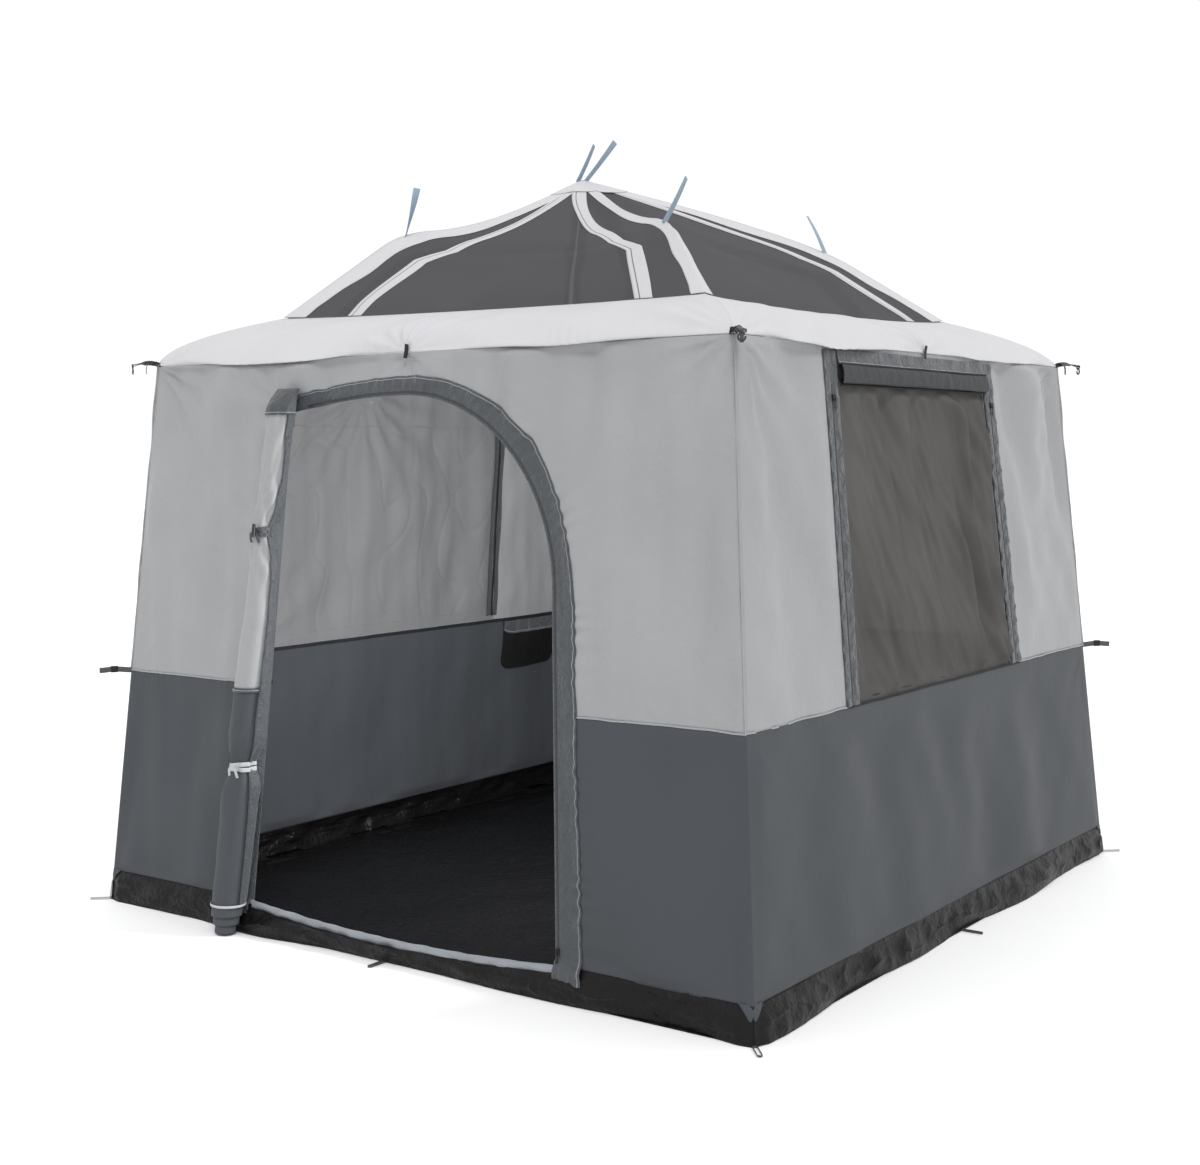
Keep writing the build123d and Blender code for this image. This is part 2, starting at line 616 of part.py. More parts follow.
def build_straps():
    straps = [hanging_strap(strap_foot(name, shift), lean) for name, (shift, lean) in HANGING_STRAPS.items()]
    save("hanging_straps", *straps)
    places = {hip: corner_place(hip, EAVE_H + CLOTH + EAVE_STRAP_T, EAVE / 2) for hip in HIPS}
    save("eave_straps", *[place * eave_strap() for place in places.values()])
    for hip, place in places.items():
        save(f"eave_clip_{hip}", place * Pos(eye_x(), 0, 0) * clip())
        show(f"eave_clip_{hip}_swing", place * Pos(eye_x(), 0, 0), Vector(0, -1, 0))
    tab_low = EAVE_H - TAB_H / 2
    tab = Pos(0, -half_width(tab_low) - GAP - TRIM / 2, EAVE_H) * Box(TAB_W, TRIM, TAB_H)
    save("mid_eave_tabs", *[turned(tab, side) for side in SIDES])
    leg = Pos(LEG_STRAP_L / 2 + GAP, 0, 0) * Box(LEG_STRAP_L, LEG_STRAP_T, LEG_STRAP_W)
    strapped = ("front_left", "rear_right", "rear_left")
    half = half_width(SEAM_H - LEG_STRAP_W / 2)
    save("leg_straps", *[corner_place(hip, SEAM_H, half) * leg for hip in strapped])


def build_stake_loops():
    corners = []
    for hip in HIPS:
        corners.append(corner_place(hip, 0, FLOOR / 2) * stake_loop())
        low = corner_place(hip, LOOP_H + GAP, half_width(0))
        corners.append(low * Pos(LOOP_T / 2 + GAP, 0, PATCH_H / 2) * Box(LOOP_T, PATCH_W, PATCH_H))
    save("corner_stake_loops", *corners)
    loop = Pos(0, -FLOOR / 2, 0) * Rot(0, 0, -90) * stake_loop()
    save("side_stake_loops", *[turned(loop, side) for side in SIDES])


build_tub()
build_front_wall()
build_door_roll()
save("window_zips", *build_right_wall(), *build_left_wall())
build_back_wall()
build_sliders()
build_roof()
build_inside()
build_straps()
build_stake_loops()
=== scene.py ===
import json
import math

import bmesh
import bpy
import numpy as np
from bpy.props import FloatProperty, PointerProperty, StringProperty
from mathutils import Matrix, Vector


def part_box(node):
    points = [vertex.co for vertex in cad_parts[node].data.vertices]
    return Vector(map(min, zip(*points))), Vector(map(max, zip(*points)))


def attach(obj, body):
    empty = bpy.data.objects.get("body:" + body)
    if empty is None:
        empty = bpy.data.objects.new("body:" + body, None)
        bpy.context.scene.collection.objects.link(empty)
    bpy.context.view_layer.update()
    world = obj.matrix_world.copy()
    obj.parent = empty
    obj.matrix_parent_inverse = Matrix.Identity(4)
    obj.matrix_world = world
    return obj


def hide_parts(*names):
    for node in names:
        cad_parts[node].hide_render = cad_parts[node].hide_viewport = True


bl_info = {
    "name": "Hanging Cabin Tent",
    "version": (1, 0, 0),
    "blender": (4, 5, 0),
    "location": "3D View > Sidebar > Tent",
    "description": "Builds the cloth, nets, zips and webbing of a square cabin tent round its packed frame",
    "category": "Object",
}

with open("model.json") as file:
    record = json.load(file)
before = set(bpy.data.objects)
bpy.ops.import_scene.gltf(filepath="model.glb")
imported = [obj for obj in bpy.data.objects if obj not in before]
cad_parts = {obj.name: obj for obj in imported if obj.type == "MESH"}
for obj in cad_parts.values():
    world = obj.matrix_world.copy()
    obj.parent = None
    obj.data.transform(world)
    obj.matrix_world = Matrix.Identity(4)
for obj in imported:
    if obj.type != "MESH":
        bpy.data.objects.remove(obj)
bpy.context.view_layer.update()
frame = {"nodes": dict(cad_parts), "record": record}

# Sizes that the frame gives, in metres. Walls are drawn as the front wall, x to the right, z up.
FLOOR = 2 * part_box("floor_sheet")[1].x
EAVE = 2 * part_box("roof_band_front")[1].x
SEAM_H, EAVE_H = (corner.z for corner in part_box("front_wall_upper"))
TUB_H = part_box("front_wall_lower_left")[0].z
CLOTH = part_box("floor_sheet")[1].z
COVER_LOW, COVER_HIGH = (corner.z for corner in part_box("left_window_cover"))
COVER_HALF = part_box("left_window_cover")[1].y
NET_LOW, NET_HIGH = (corner.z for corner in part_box("left_window_net"))
NET_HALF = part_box("left_window_net")[1].y
WINDOW_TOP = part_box("right_window_trims")[1].z
HEADER_LOW, HEADER_HIGH = (corner.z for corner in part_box("right_window_cover_roll"))
WINDOW_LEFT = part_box("right_window_trims")[0].y
WINDOW_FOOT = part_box("right_window_trims")[1].y
POCKET_LOW, POCKET_HIGH = (corner.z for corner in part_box("wall_pocket"))
POCKET_NEAR, POCKET_FAR = (corner.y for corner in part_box("wall_pocket"))
ROLL_FOOT_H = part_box("door_roll_lower")[0].z
ROLL_TOP_H = 1.79

# Sizes of single pieces
TRIM = 0.002
TAPE = 0.0015
COIL_W = 0.006
COVER_ZIP_IN = 0.030
WINDOW_TRIM_W = 0.085
WINDOW_HEAD_REAR = 0.554  # rear edge of the window at its head
SILL_W = 0.028
SILL_SAG = 0.030
TIE_HEIGHTS = (1.372, 0.580)
WEBBING_T = 0.0016
QUARTERS = {"front": 0, "right": 1, "back": 2, "left": 3}
SIDE_HIPS = {
    "front": ("front_left", "front_right"),
    "right": ("front_right", "rear_right"),
    "back": ("rear_right", "rear_left"),
    "left": ("rear_left", "front_left"),
}

# Hips: corner signs, share of the way to the peak and rise over the eaves of each level,
# and sag above the kink
PEAK = np.array([-0.130, -0.095, EAVE_H + 0.695])
HIPS = {
    "front_left": ((-1, -1), (0.08, 0.085), (0.29, 0.177), (0.57, 0.495), 0.050),
    "front_right": ((1, -1), (0.05, 0.075), (0.15, 0.135), (0.36, 0.400), 0.042),
    "rear_right": ((1, 1), (0.08, 0.085), (0.25, 0.177), (0.49, 0.432), -0.016),
    "rear_left": ((-1, 1), (0.08, 0.085), (0.26, 0.170), (0.48, 0.450), 0.040),
}
RIB_SHARES = {
    "front": ((0.20, 0.88), (0.16, 0.88), (0.40, 0.60)),
    "right": ((0.83,), (0.87,), (0.70,)),
    "back": ((0.18, 0.76), (0.10, 0.77), (0.40, 0.60)),
    "left": ((0.86,), (0.88,), (0.60,)),
}
ROOF_SAG = {"front": 0.085, "right": 0.060, "back": 0.070, "left": 0.060}
BAND_SAG = {"front": 0.010, "right": 0.022, "back": 0.015, "left": 0.020}
KINK = 0.5  # place of the kink along a hip, from the band to the peak
KINK_SOFT = 0.09  # how far its rounding reaches to both sides
RIB_BEND = 0.40  # place of the bend along a rib
PATCH_START = 0.93
HIP_REACH = {"front_left": (0.035, 0.092), "front_right": (0.040, 0.040), "rear_right": (0.088, 0.035),
             "rear_left": (0.050, 0.050)}  # how far a hip's tape lies on the faces left and right of it


def length_property(label, description, default):
    return FloatProperty(name=label, description=description, default=default, unit="LENGTH")


class TentSizes(bpy.types.PropertyGroup):
    """Sizes of the tent's soft parts that can be changed without moving its frame"""

    arch_x: length_property("Arch middle", "Middle of the door arch", -0.010)
    arch_r: length_property("Arch radius", "Radius of the door arch", 0.632)
    trim_left: length_property("Left trim", "Width of the left jamb's trim", 0.053)
    trim_top: length_property("Arch trim", "Width of the arch's trim", 0.062)
    trim_right: length_property("Right trim", "Width of the right jamb's trim", 0.092)
    hip_tape: length_property("Hip tape", "Width of the tapes on the hips", 0.070)
    rib_tape: length_property("Rib tape", "Width of the tapes on the roof net", 0.075)
    cloth: length_property("Cloth", "Thickness of the wall cloth", 0.0008)
    fold: FloatProperty(name="Folds", description="Height of the folds, 1 is as sewn", default=1.0, min=0.0)


def colour_property(label, description, default):
    return StringProperty(name=label, description=description, default=default)


class TentColours(bpy.types.PropertyGroup):
    """Colours of the tent's cloths as sRGB hex values"""

    light_cloth: colour_property("Light cloth", "Upper walls", "#8F9092")
    dark_cloth: colour_property("Dark cloth", "Lower walls", "#424549")
    tub_cloth: colour_property("Tub cloth", "Floor and tub walls", "#111112")
    roof_cloth: colour_property("Roof cloth", "Roof band, hips and peak", "#BEBEC1")
    roof_net: colour_property("Roof net", "Mesh of the roof", "#49494B")
    window_net: colour_property("Window net", "Mesh of windows and pocket", "#52514F")
    rib_tape: colour_property("Rib tape", "Tapes on the roof net", "#BDBDBF")
    trim_cloth: colour_property("Trim cloth", "Door and window trims", "#3F4347")
    sill_cloth: colour_property("Sill cloth", "Door sill", "#858A8F")
    webbing: colour_property("Webbing", "Hanging straps", "#8396A6")
    dark_webbing: colour_property("Dark webbing", "Leg and eave straps", "#3C3F43")


def sizes():
    return bpy.context.scene.tent_sizes


# ---------------------------------------------------------------- shape helpers


def half_width(z):
    """Half the width of the tent at a height: the walls lean in evenly."""
    return (FLOOR + (EAVE - FLOOR) * z / EAVE_H) / 2


def turned(points, side):
    """Front-wall points turned to their own side, a quarter turn at a time."""
    for _ in range(QUARTERS[side]):
        points = np.stack([-points[..., 1], points[..., 0], points[..., 2]], -1)
    return points


def on_wall(side, x, z, out):
    """Points at x and z of the front view, a distance out from the wall, turned to their side."""
    return turned(np.stack(np.broadcast_arrays(x, -(half_width(z) + out), z), -1), side)


def column(first, last, count):
    """Even steps that vary down a grid's first direction."""
    return np.linspace(first, last, count)[:, None]


def row(first, last, count):
    """Even steps that vary along a grid's second direction."""
    return np.linspace(first, last, count)[None, :]


def mix(a, b, share):
    return a + (b - a) * share


def fade(share):
    """Smooth step from 0 to 1 as the share goes from 0 to 1."""
    share = np.clip(share, 0.0, 1.0)
    return share * share * (3 - 2 * share)


def hump(distance, width):
    """Bell curve of height 1 that falls away over a width."""
    return np.exp(-((distance / width) ** 2))


def waves(x, z, size, seed, terms=9):
    """Irregular waves about 1 high: a sum of cosines whose directions, lengths and phases are seeded."""
    draw = np.random.default_rng(seed)
    total = 0.0
    for _ in range(terms):
        turn, phase = draw.uniform(0, 2 * math.pi, 2)
        pitch = 2 * math.pi / (size * draw.uniform(0.6, 1.5))
        total = total + np.cos(pitch * (x * math.cos(turn) + z * math.sin(turn)) + phase)
    return total / math.sqrt(terms / 2)


def creases(x, z, size, seed):
    """Sharp irregular creases, 0 to 1: ridges stand where the waves cross zero."""
    return np.exp(-np.abs(waves(x, z, size, seed)) * 5)


def fan(x, z, middle, folds, reach, seed=0.0, core=0.03):
    """Tension folds that spread from a point: a wave round the point that dies away outwards."""
    dx, dz = x - middle[0], z - middle[1]
    r = np.hypot(dx, dz)
    turn = np.arctan2(dz, dx)
    return np.cos(folds * turn + 1.3 * np.sin(2 * turn + seed)) * r / (r + core) * np.exp(-r / reach)


def puckers(along, away, pitch, reach, seed):
    """Short ripples across a seam: an uneven wave along it that dies away from it."""
    uneven = 0.35 * pitch * waves(along, 0 * along, 5 * pitch, seed)
    strength = 0.6 + 0.4 * waves(along, 0 * along, 9 * pitch, seed + 1)
    return strength * np.cos(2 * math.pi * (along + uneven) / pitch) * np.exp(-np.abs(away) / reach)


def length_along(points, axis):
    """Running length along one axis of a grid of points."""
    steps = np.linalg.norm(np.diff(points, axis=axis), axis=-1)
    start = np.zeros_like(np.take(steps, [0], axis=axis))
    return np.concatenate([start, np.cumsum(steps, axis=axis)], axis=axis)


def grid_area(points):
    """Area of a grid of points, two triangles to a cell."""
    a, b, c, d = points[:-1, :-1], points[1:, :-1], points[1:, 1:], points[:-1, 1:]
    halves = np.cross(b - a, c - a), np.cross(c - a, d - a)
    return float(sum(np.linalg.norm(half, axis=-1).sum() for half in halves) / 2)


def wrapped(array, round_i, round_j):
    """The grid with its first row or column repeated at the end, where it is closed."""
    if round_i:
        array = np.concatenate([array, array[:1]], 0)
    if round_j:
        array = np.concatenate([array, array[:, :1]], 1)
    return array


def grid_mesh(grids):
    """Vertices, faces as loops and loop UVs of several grids: (points, round_i, round_j, uv, capped)."""
    verts, loops, counts, uvs, base = [], [], [], [], 0
    for points, round_i, round_j, uv, capped in grids:
        n, m = points.shape[:2]
        if uv is None:
            closed = wrapped(points, round_i, round_j)
            uv = np.stack([length_along(closed, 0), length_along(closed, 1)], -1)
        cells = np.arange(n if round_i else n - 1), np.arange(m if round_j else m - 1)
        i, j = np.meshgrid(*cells, indexing="ij")
        rows = np.stack([i, i + 1, i + 1, i], -1).reshape(-1, 4)
        cols = np.stack([j, j, j + 1, j + 1], -1).reshape(-1, 4)
        verts.append(points.reshape(-1, 3))
        loops.append((base + (rows % n) * m + cols % m).ravel())
        uvs.append(uv[rows, cols].reshape(-1, 2))
        counts += [4] * len(rows)
        if capped:
            ring = np.arange(m)
            for row, order in ((0, ring), (n - 1, ring[::-1])):
                loops.append(base + row * m + order)
                uvs.append(uv[row, order])
                counts.append(m)
        base += n * m
    return np.concatenate(verts), np.concatenate(loops), np.array(counts), np.concatenate(uvs)


def face_away(mesh, middle):
    """Turns all faces round where most of them look towards the middle."""
    count = len(mesh.polygons)
    centres, normals, areas = np.zeros(count * 3), np.zeros(count * 3), np.zeros(count)
    mesh.polygons.foreach_get("center", centres)
    mesh.polygons.foreach_get("normal", normals)
    mesh.polygons.foreach_get("area", areas)
    out = (centres.reshape(-1, 3) - np.array(middle)) * normals.reshape(-1, 3)
    if (out.sum(1) * areas).sum() < 0:
        mesh.flip_normals()


def piece(name, grids, material, nodes=(), thickness=0.0, middle=(0, 0, 1.0), slot=None, merge=False):
    """New mesh piece from grids: faces away from the middle, a wall thickness inwards, rides on the tent."""
    grids = [tuple(grid) + (False, False, None, False)[len(grid) - 1 :] for grid in grids]
    verts, loops, counts, uvs = grid_mesh(grids)
    mesh = bpy.data.meshes.new(name)
    mesh.vertices.add(len(verts))
    mesh.vertices.foreach_set("co", verts.astype(np.float32).ravel())
    mesh.loops.add(len(loops))
    mesh.loops.foreach_set("vertex_index", loops.astype(np.int32))
    mesh.polygons.add(len(counts))
    mesh.polygons.foreach_set("loop_start", (np.cumsum(counts) - counts).astype(np.int32))
    mesh.polygons.foreach_set("loop_total", counts.astype(np.int32))
    mesh.polygons.foreach_set("use_smooth", np.ones(len(counts), bool))
    layer = mesh.uv_layers.new(name="UVMap")
    layer.data.foreach_set("uv", uvs.astype(np.float32).ravel())
    mesh.update(calc_edges=True)
    if merge:
        merge_doubles(mesh)
    face_away(mesh, middle)
    mesh.materials.append(stuff(material))
    obj = bpy.data.objects.new(name, mesh)
    bpy.context.scene.collection.objects.link(obj)
    if thickness:
        wall = obj.modifiers.new("Thickness", "SOLIDIFY")
        wall.thickness = thickness
        wall.offset = -1.0
    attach(obj, "tent")
    if nodes:
        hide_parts(*nodes)
        rows = frame["record"]["subparts"]
        slot = slot or next(row["material_slot"] for row in rows if row["node"] == nodes[0])
    return obj


def merge_doubles(mesh):
    work = bmesh.new()
    work.from_mesh(mesh)
    bmesh.ops.remove_doubles(work, verts=work.verts, dist=1e-5)
    work.to_mesh(mesh)
    work.free()


def rounded_strip(width, thickness, count=3):
    """Outline of a flat strip with rounded edges: points (across, up), anticlockwise."""
    half, r = (width - thickness) / 2, thickness / 2
    turn = np.linspace(-math.pi / 2, math.pi / 2, count + 2)
    right = np.stack([half + r * np.cos(turn), r * np.sin(turn)], 1)
    return np.concatenate([right, -right])


def carried(path, across, outline):
    """Outline carried along a path: across is the direction of its first coordinate at each point."""
    along = np.gradient(path, axis=0)
    along /= np.linalg.norm(along, axis=1)[:, None]
    across = across - (across * along).sum(1)[:, None] * along
    across /= np.linalg.norm(across, axis=1)[:, None]
    up = np.cross(along, across)
    return path[:, None] + outline[None, :, :1] * across[:, None] + outline[None, :, 1:] * up[:, None]


def ribbon(path, across, width, thickness=WEBBING_T):
    """Closed grid of a webbing strip along a path."""
    across = np.broadcast_to(np.asarray(across, float), path.shape)
    return carried(path, across, rounded_strip(width, thickness)), False, True, None, True


def placed(start, axes, rows):
    """Points at distances along two or three axes from a start."""
    return np.asarray(start, float) + np.asarray(rows, float) @ np.stack(axes)


def smooth_path(points, count):
    """Path through points: each coordinate is a Catmull-Rom curve of the running length."""
    points = np.asarray(points, float)
    padded = np.concatenate([[2 * points[0] - points[1]], points, [2 * points[-1] - points[-2]]])
    t = np.linspace(0, len(points) - 1 - 1e-9, count)
    k = t.astype(int)
    f = (t - k)[:, None]
    a, b, c, d = (padded[k + i] for i in range(4))
    return 0.5 * (2 * b + (c - a) * f + (2 * a - 5 * b + 4 * c - d) * f**2 + (3 * b - a - 3 * c + d) * f**3)


# ---------------------------------------------------------------- materials


def linear(code, alpha=1.0):
    """Linear colour of an sRGB hex value."""
    parts = [int(code[i : i + 2], 16) / 255 for i in (1, 3, 5)]
    return tuple(p / 12.92 if p <= 0.04045 else ((p + 0.055) / 1.055) ** 2.4 for p in parts) + (alpha,)


def add(tree, kind, inputs=None, **settings):
    """Adds one shader node with its settings, and sets or links its inputs."""
    node = tree.nodes.new("ShaderNode" + kind)
    for key, value in settings.items():
        setattr(node, key, value)
    for key, value in (inputs or {}).items():
        if isinstance(value, bpy.types.NodeSocket):
            tree.links.new(value, node.inputs[key])
        else:
            node.inputs[key].default_value = value
    return node


def wave_scale(pitch):
    """Scale of a wave texture whose bands are a pitch apart: its bands repeat every 2 pi / 20 units."""
    return 2 * math.pi / 20 / pitch


def shader(name, **values):
    """New material with a Principled shader whose constant values are set on its own sockets."""
    material = bpy.data.materials.new(name)
    material.use_nodes = True
    tree = material.node_tree
    tree.nodes.clear()
    bsdf = add(tree, "BsdfPrincipled")
    for key, value in values.items():
        bsdf.inputs[key.replace("_", " ")].default_value = value
    add(tree, "OutputMaterial", {"Surface": bsdf.outputs[0]})
    return material, tree, bsdf


THREAD_H = 0.12  # height of the threads as a share of their spacing
DYE_AND_SHADE_SCALE = 2.2  # the tone of the dyeing, and on the light cloth the soft painted shade that it also gives, changes about every 0.45 m


def woven(name, code, thread, crumple, crumple_size, spread, seam=None, **values):
    """Woven cloth: two crossed sets of threads in the cloth's own directions, soft crumples, uneven dye."""
    material, tree, bsdf = shader(name, **values)
    uv = add(tree, "UVMap", uv_map="UVMap").outputs[0]
    place = add(tree, "TexCoord").outputs["Object"]
    threads = {"Vector": uv, "Scale": wave_scale(thread)}
    warp, weft = (add(tree, "TexWave", threads, bands_direction=way) for way in "XY")
    weave = add(tree, "Math", {0: warp.outputs[1], 1: weft.outputs[1]}, operation="MULTIPLY")
    lumps = {"Vector": place, "Scale": 1 / crumple_size, "Detail": 4.0, "Distortion": 0.7}
    rough = add(tree, "TexNoise", lumps)
    fine = add(tree, "TexNoise", {"Vector": place, "Scale": 5 / crumple_size, "Detail": 3.0})
    lumps = add(tree, "Math", {0: fine.outputs[0], 1: 0.3, 2: rough.outputs[0]}, operation="MULTIPLY_ADD")
    bump = add(tree, "Bump", {"Height": lumps.outputs[0], "Distance": crumple, "Strength": 1.0})
    ridges = {"Height": weave.outputs[0], "Distance": thread * THREAD_H, "Strength": 0.5}
    normal = add(tree, "Bump", {**ridges, "Normal": bump.outputs[0]})
    # Uneven dyeing: a random tone over the cloth; on the light cloth its spread is widened so that it also
    # paints the soft light and shade of the walls
    dye_and_shade = add(tree, "TexNoise", {"Vector": place, "Scale": DYE_AND_SHADE_SCALE, "Detail": 5.0, "Roughness": 0.6})
    low, high = (tuple(min(1.0, c * share) for c in linear(code)[:3]) for share in (1 - spread, 1 + spread))
    shade = add(tree, "Mix", {0: dye_and_shade.outputs[0], 6: (*low, 1), 7: (*high, 1)}, data_type="RGBA")
    # Painted shade and highlight of the threads: the colour is scaled from 0.95 in the grooves between
    # threads to 1.05 on their crests
    dark = add(tree, "Math", {0: weave.outputs[0], 1: 0.10, 2: 0.95}, operation="MULTIPLY_ADD")
    thread_shaded = {0: shade.outputs[2], "Scale": dark.outputs[0]}
    colour = add(tree, "VectorMath", thread_shaded, operation="SCALE").outputs[0]
    if seam is not None:
        colour = seam_line(tree, uv, colour, *seam)
    tree.links.new(colour, bsdf.inputs["Base Color"])
    tree.links.new(normal.outputs[0], bsdf.inputs["Normal"])
    return material


def seam_line(tree, uv, colour, place, width, code):
    """Thin sewn line along a strip, at a distance from the edge where the second UV coordinate is 0."""
    across = add(tree, "SeparateXYZ", {0: uv}).outputs[1]
    away = add(tree, "Math", {0: across, 1: place}, operation="SUBTRACT")
    away = add(tree, "Math", {0: away.outputs[0]}, operation="ABSOLUTE")
    line = add(tree, "Math", {0: away.outputs[0], 1: width / 2}, operation="LESS_THAN")
    drawn = {0: line.outputs[0], 6: colour, 7: linear(code)}
    return add(tree, "Mix", drawn, data_type="RGBA").outputs[2]


def moulded(name, code, grain, grain_size, **values):
    """Moulded or painted surface: an even colour with worn patches and a fine grain."""
    material, tree, bsdf = shader(name, **values)
    place = add(tree, "TexCoord").outputs["Object"]
    noise = add(tree, "TexNoise", {"Vector": place, "Scale": 1 / grain_size, "Detail": 3.0})
    wear = add(tree, "TexNoise", {"Vector": place, "Scale": 120.0, "Detail": 4.0})
    base = linear(code)
    worn = tuple(min(1.0, c * 1.7 + 0.01) for c in base[:3])
    tone = add(tree, "MapRange", {0: wear.outputs[0], 1: 0.55, 2: 0.75})
    shade = add(tree, "Mix", {0: tone.outputs[0], 6: base, 7: (*worn, 1)}, data_type="RGBA")
    bump = add(tree, "Bump", {"Height": noise.outputs[0], "Distance": grain, "Strength": 0.6})
    tree.links.new(shade.outputs[2], bsdf.inputs["Base Color"])
    tree.links.new(bump.outputs[0], bsdf.inputs["Normal"])
    return material


def make_materials():
    """All finishes by name. Threads of 0.3 mm or finer wouldn't show, so they are 2.5 to 4 mm apart."""
    colours = bpy.context.scene.tent_colours
    taffeta = {"Roughness": 0.62, "Sheen_Weight": 0.15, "Sheen_Roughness": 0.5, "Specular_IOR_Level": 0.35}
    slate = {"Roughness": 0.6, "Sheen_Weight": 0.05, "Specular_IOR_Level": 0.15}
    canopy = {"Roughness": 0.75, "Sheen_Weight": 0.1, "Specular_IOR_Level": 0.25}
    mesh = {"Roughness": 0.9, "Specular_IOR_Level": 0.1}
    crinkled = {"Roughness": 0.5, "Sheen_Weight": 0.2, "Specular_IOR_Level": 0.30}
    dull = {"Roughness": 0.55}
    # Name, colour, thread spacing, height and size of the crumples, spread of the tone, sewn line, shader
    cloths = {
        # Polyester taffeta, coated inside: soft sheen, faint threads, slow changes of tone that are widened
        # to paint soft light and shade as well
        "light": ("Polyester_taffeta_light", colours.light_cloth, 0.0035, 0.0050, 0.12, 0.10, None, taffeta),
        # The same cloth dyed slate, a little smoother
        "dark": ("Polyester_taffeta_slate", colours.dark_cloth, 0.0035, 0.0022, 0.12, 0.05, None, slate),
        # Heavy coated oxford of the tub: glossy creases on near black
        "tub": ("Coated_oxford_black", colours.tub_cloth, 0.004, 0.014, 0.09, 0.25, None,
                {"Roughness": 0.36, "Specular_IOR_Level": 0.17}),
        # Bright, matt canopy cloth of the roof
        "roof": ("Polyester_canopy_white", colours.roof_cloth, 0.0035, 0.0025, 0.09, 0.03, None, canopy),
        # Knitted mosquito mesh: too fine to see holes, so it is an even film
        "roof_net": ("Mosquito_mesh_roof", colours.roof_net, 0.003, 0.002, 0.25, 0.05, None,
                     {"Alpha": 0.90, **mesh}),
        "window_net": ("Mosquito_mesh_window", colours.window_net, 0.003, 0.003, 0.10, 0.30, None,
                       {"Alpha": 0.95, **mesh}),
        "inner_net": ("Mosquito_mesh_fine", colours.window_net, 0.003, 0.002, 0.10, 0.10, None,
                      {"Alpha": 0.24, **mesh}),
        "pocket_net": ("Mosquito_mesh_black", "#1B1B1B", 0.003, 0.002, 0.10, 0.10, None,
                       {"Alpha": 0.86, **mesh}),
        # Grosgrain tape with one sewn line
        "rib": ("Grosgrain_tape_grey", colours.rib_tape, 0.004, 0.0015, 0.05, 0.05, (0.022, 0.005, "#6E6E70"),
                {"Roughness": 0.8, "Specular_IOR_Level": 0.2}),
        # Thin ripstop of the trims, pulled into crinkles by its seams
        "trim": ("Crinkled_trim_cloth", colours.trim_cloth, 0.0035, 0.010, 0.035, 0.14,
                 (0.008, 0.0022, "#85898D"), crinkled),
        "header": ("Trim_cloth_folded", "#333436", 0.0035, 0.006, 0.05, 0.10, None,
                   {"Roughness": 0.6, "Specular_IOR_Level": 0.3}),
        "sill": ("Sill_tape", colours.sill_cloth, 0.004, 0.004, 0.05, 0.08, None,
                 {"Roughness": 0.6, "Specular_IOR_Level": 0.35}),
        # Edge binding and piping: tight grosgrain
        "binding": ("Grosgrain_binding_black", "#1C1D1E", 0.0025, 0.001, 0.02, 0.2, None,
                    {"Roughness": 0.7, "Specular_IOR_Level": 0.3}),
        "piping": ("Grosgrain_piping_light", "#A9AAAD", 0.0025, 0.001, 0.02, 0.05, None, {"Roughness": 0.7}),
        # Polypropylene webbing: coarse, with a dull shine
        "webbing": ("Webbing_blue_grey", colours.webbing, 0.003, 0.001, 0.02, 0.10, None, dull),
        "dark_webbing": ("Webbing_charcoal", colours.dark_webbing, 0.003, 0.001, 0.02, 0.2, None, dull),
        # Nylon coil: smooth ridges
        "coil": ("Nylon_zip_coil", "#2B2D30", 0.003, 0.0005, 0.02, 0.1, None, {"Roughness": 0.4}),
    }
    finishes = {key: woven(*row, **values) for key, (*row, values) in cloths.items()}
    # Zinc casting under baked enamel: black, satin, rubbed at the edges
    finishes["metal"] = moulded("Enamelled_zinc", "#232427", 0.00006, 0.0006, Metallic=0.35, Roughness=0.38)
    # Acetal hooks and toggle: fine moulded grain
    satin = {"Roughness": 0.42, "Specular_IOR_Level": 0.45}
    finishes["plastic"] = moulded("Moulded_acetal", "#1F2022", 0.00008, 0.0008, **satin)
    return finishes


MATERIALS = {}


def stuff(name):
    if not MATERIALS:
        MATERIALS.update(make_materials())
    return MATERIALS[name]


# ---------------------------------------------------------------- door and window outlines


def arch_height():
    """Height of the middle of the door's arch: the trim's top less the trim and the radius."""
    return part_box("door_trim")[1].z - sizes().trim_top - sizes().arch_r


SHOULDER = (-0.520, 0.583)  # x of the arch's flat left end, and its height over the arch's middle
FOOT_LEFT_X = -0.620  # x of the left jamb at the top of the tub wall
FOOT_RIGHT_X = 0.688


def left_jamb(z):
    head = arch_height() + SHOULDER[1]
    return mix(SHOULDER[0], FOOT_LEFT_X, (head - z) / (head - TUB_H))


def right_jamb(z):
    head = arch_height()
    return mix(sizes().arch_x + sizes().arch_r, FOOT_RIGHT_X, (head - z) / (head - TUB_H))


def arc(a, m, b, share):
    """Points at shares of the circle arc from a through m to b."""
    (ax, az), (mx, mz), (bx, bz) = a, m, b
    d = 2 * (ax * (mz - bz) + mx * (bz - az) + bx * (az - mz))
    aa, mm, bb = ax**2 + az**2, mx**2 + mz**2, bx**2 + bz**2
    cx = (aa * (mz - bz) + mm * (bz - az) + bb * (az - mz)) / d
    cz = (aa * (bx - mx) + mm * (ax - bx) + bb * (mx - ax)) / d
    first = math.atan2(az - cz, ax - cx)
    sweep = (math.atan2(bz - cz, bx - cx) - first + math.pi) % (2 * math.pi) - math.pi
    turn = first + sweep * share
    r = math.hypot(ax - cx, az - cz)
    return cx + r * np.cos(turn), cz + r * np.sin(turn)


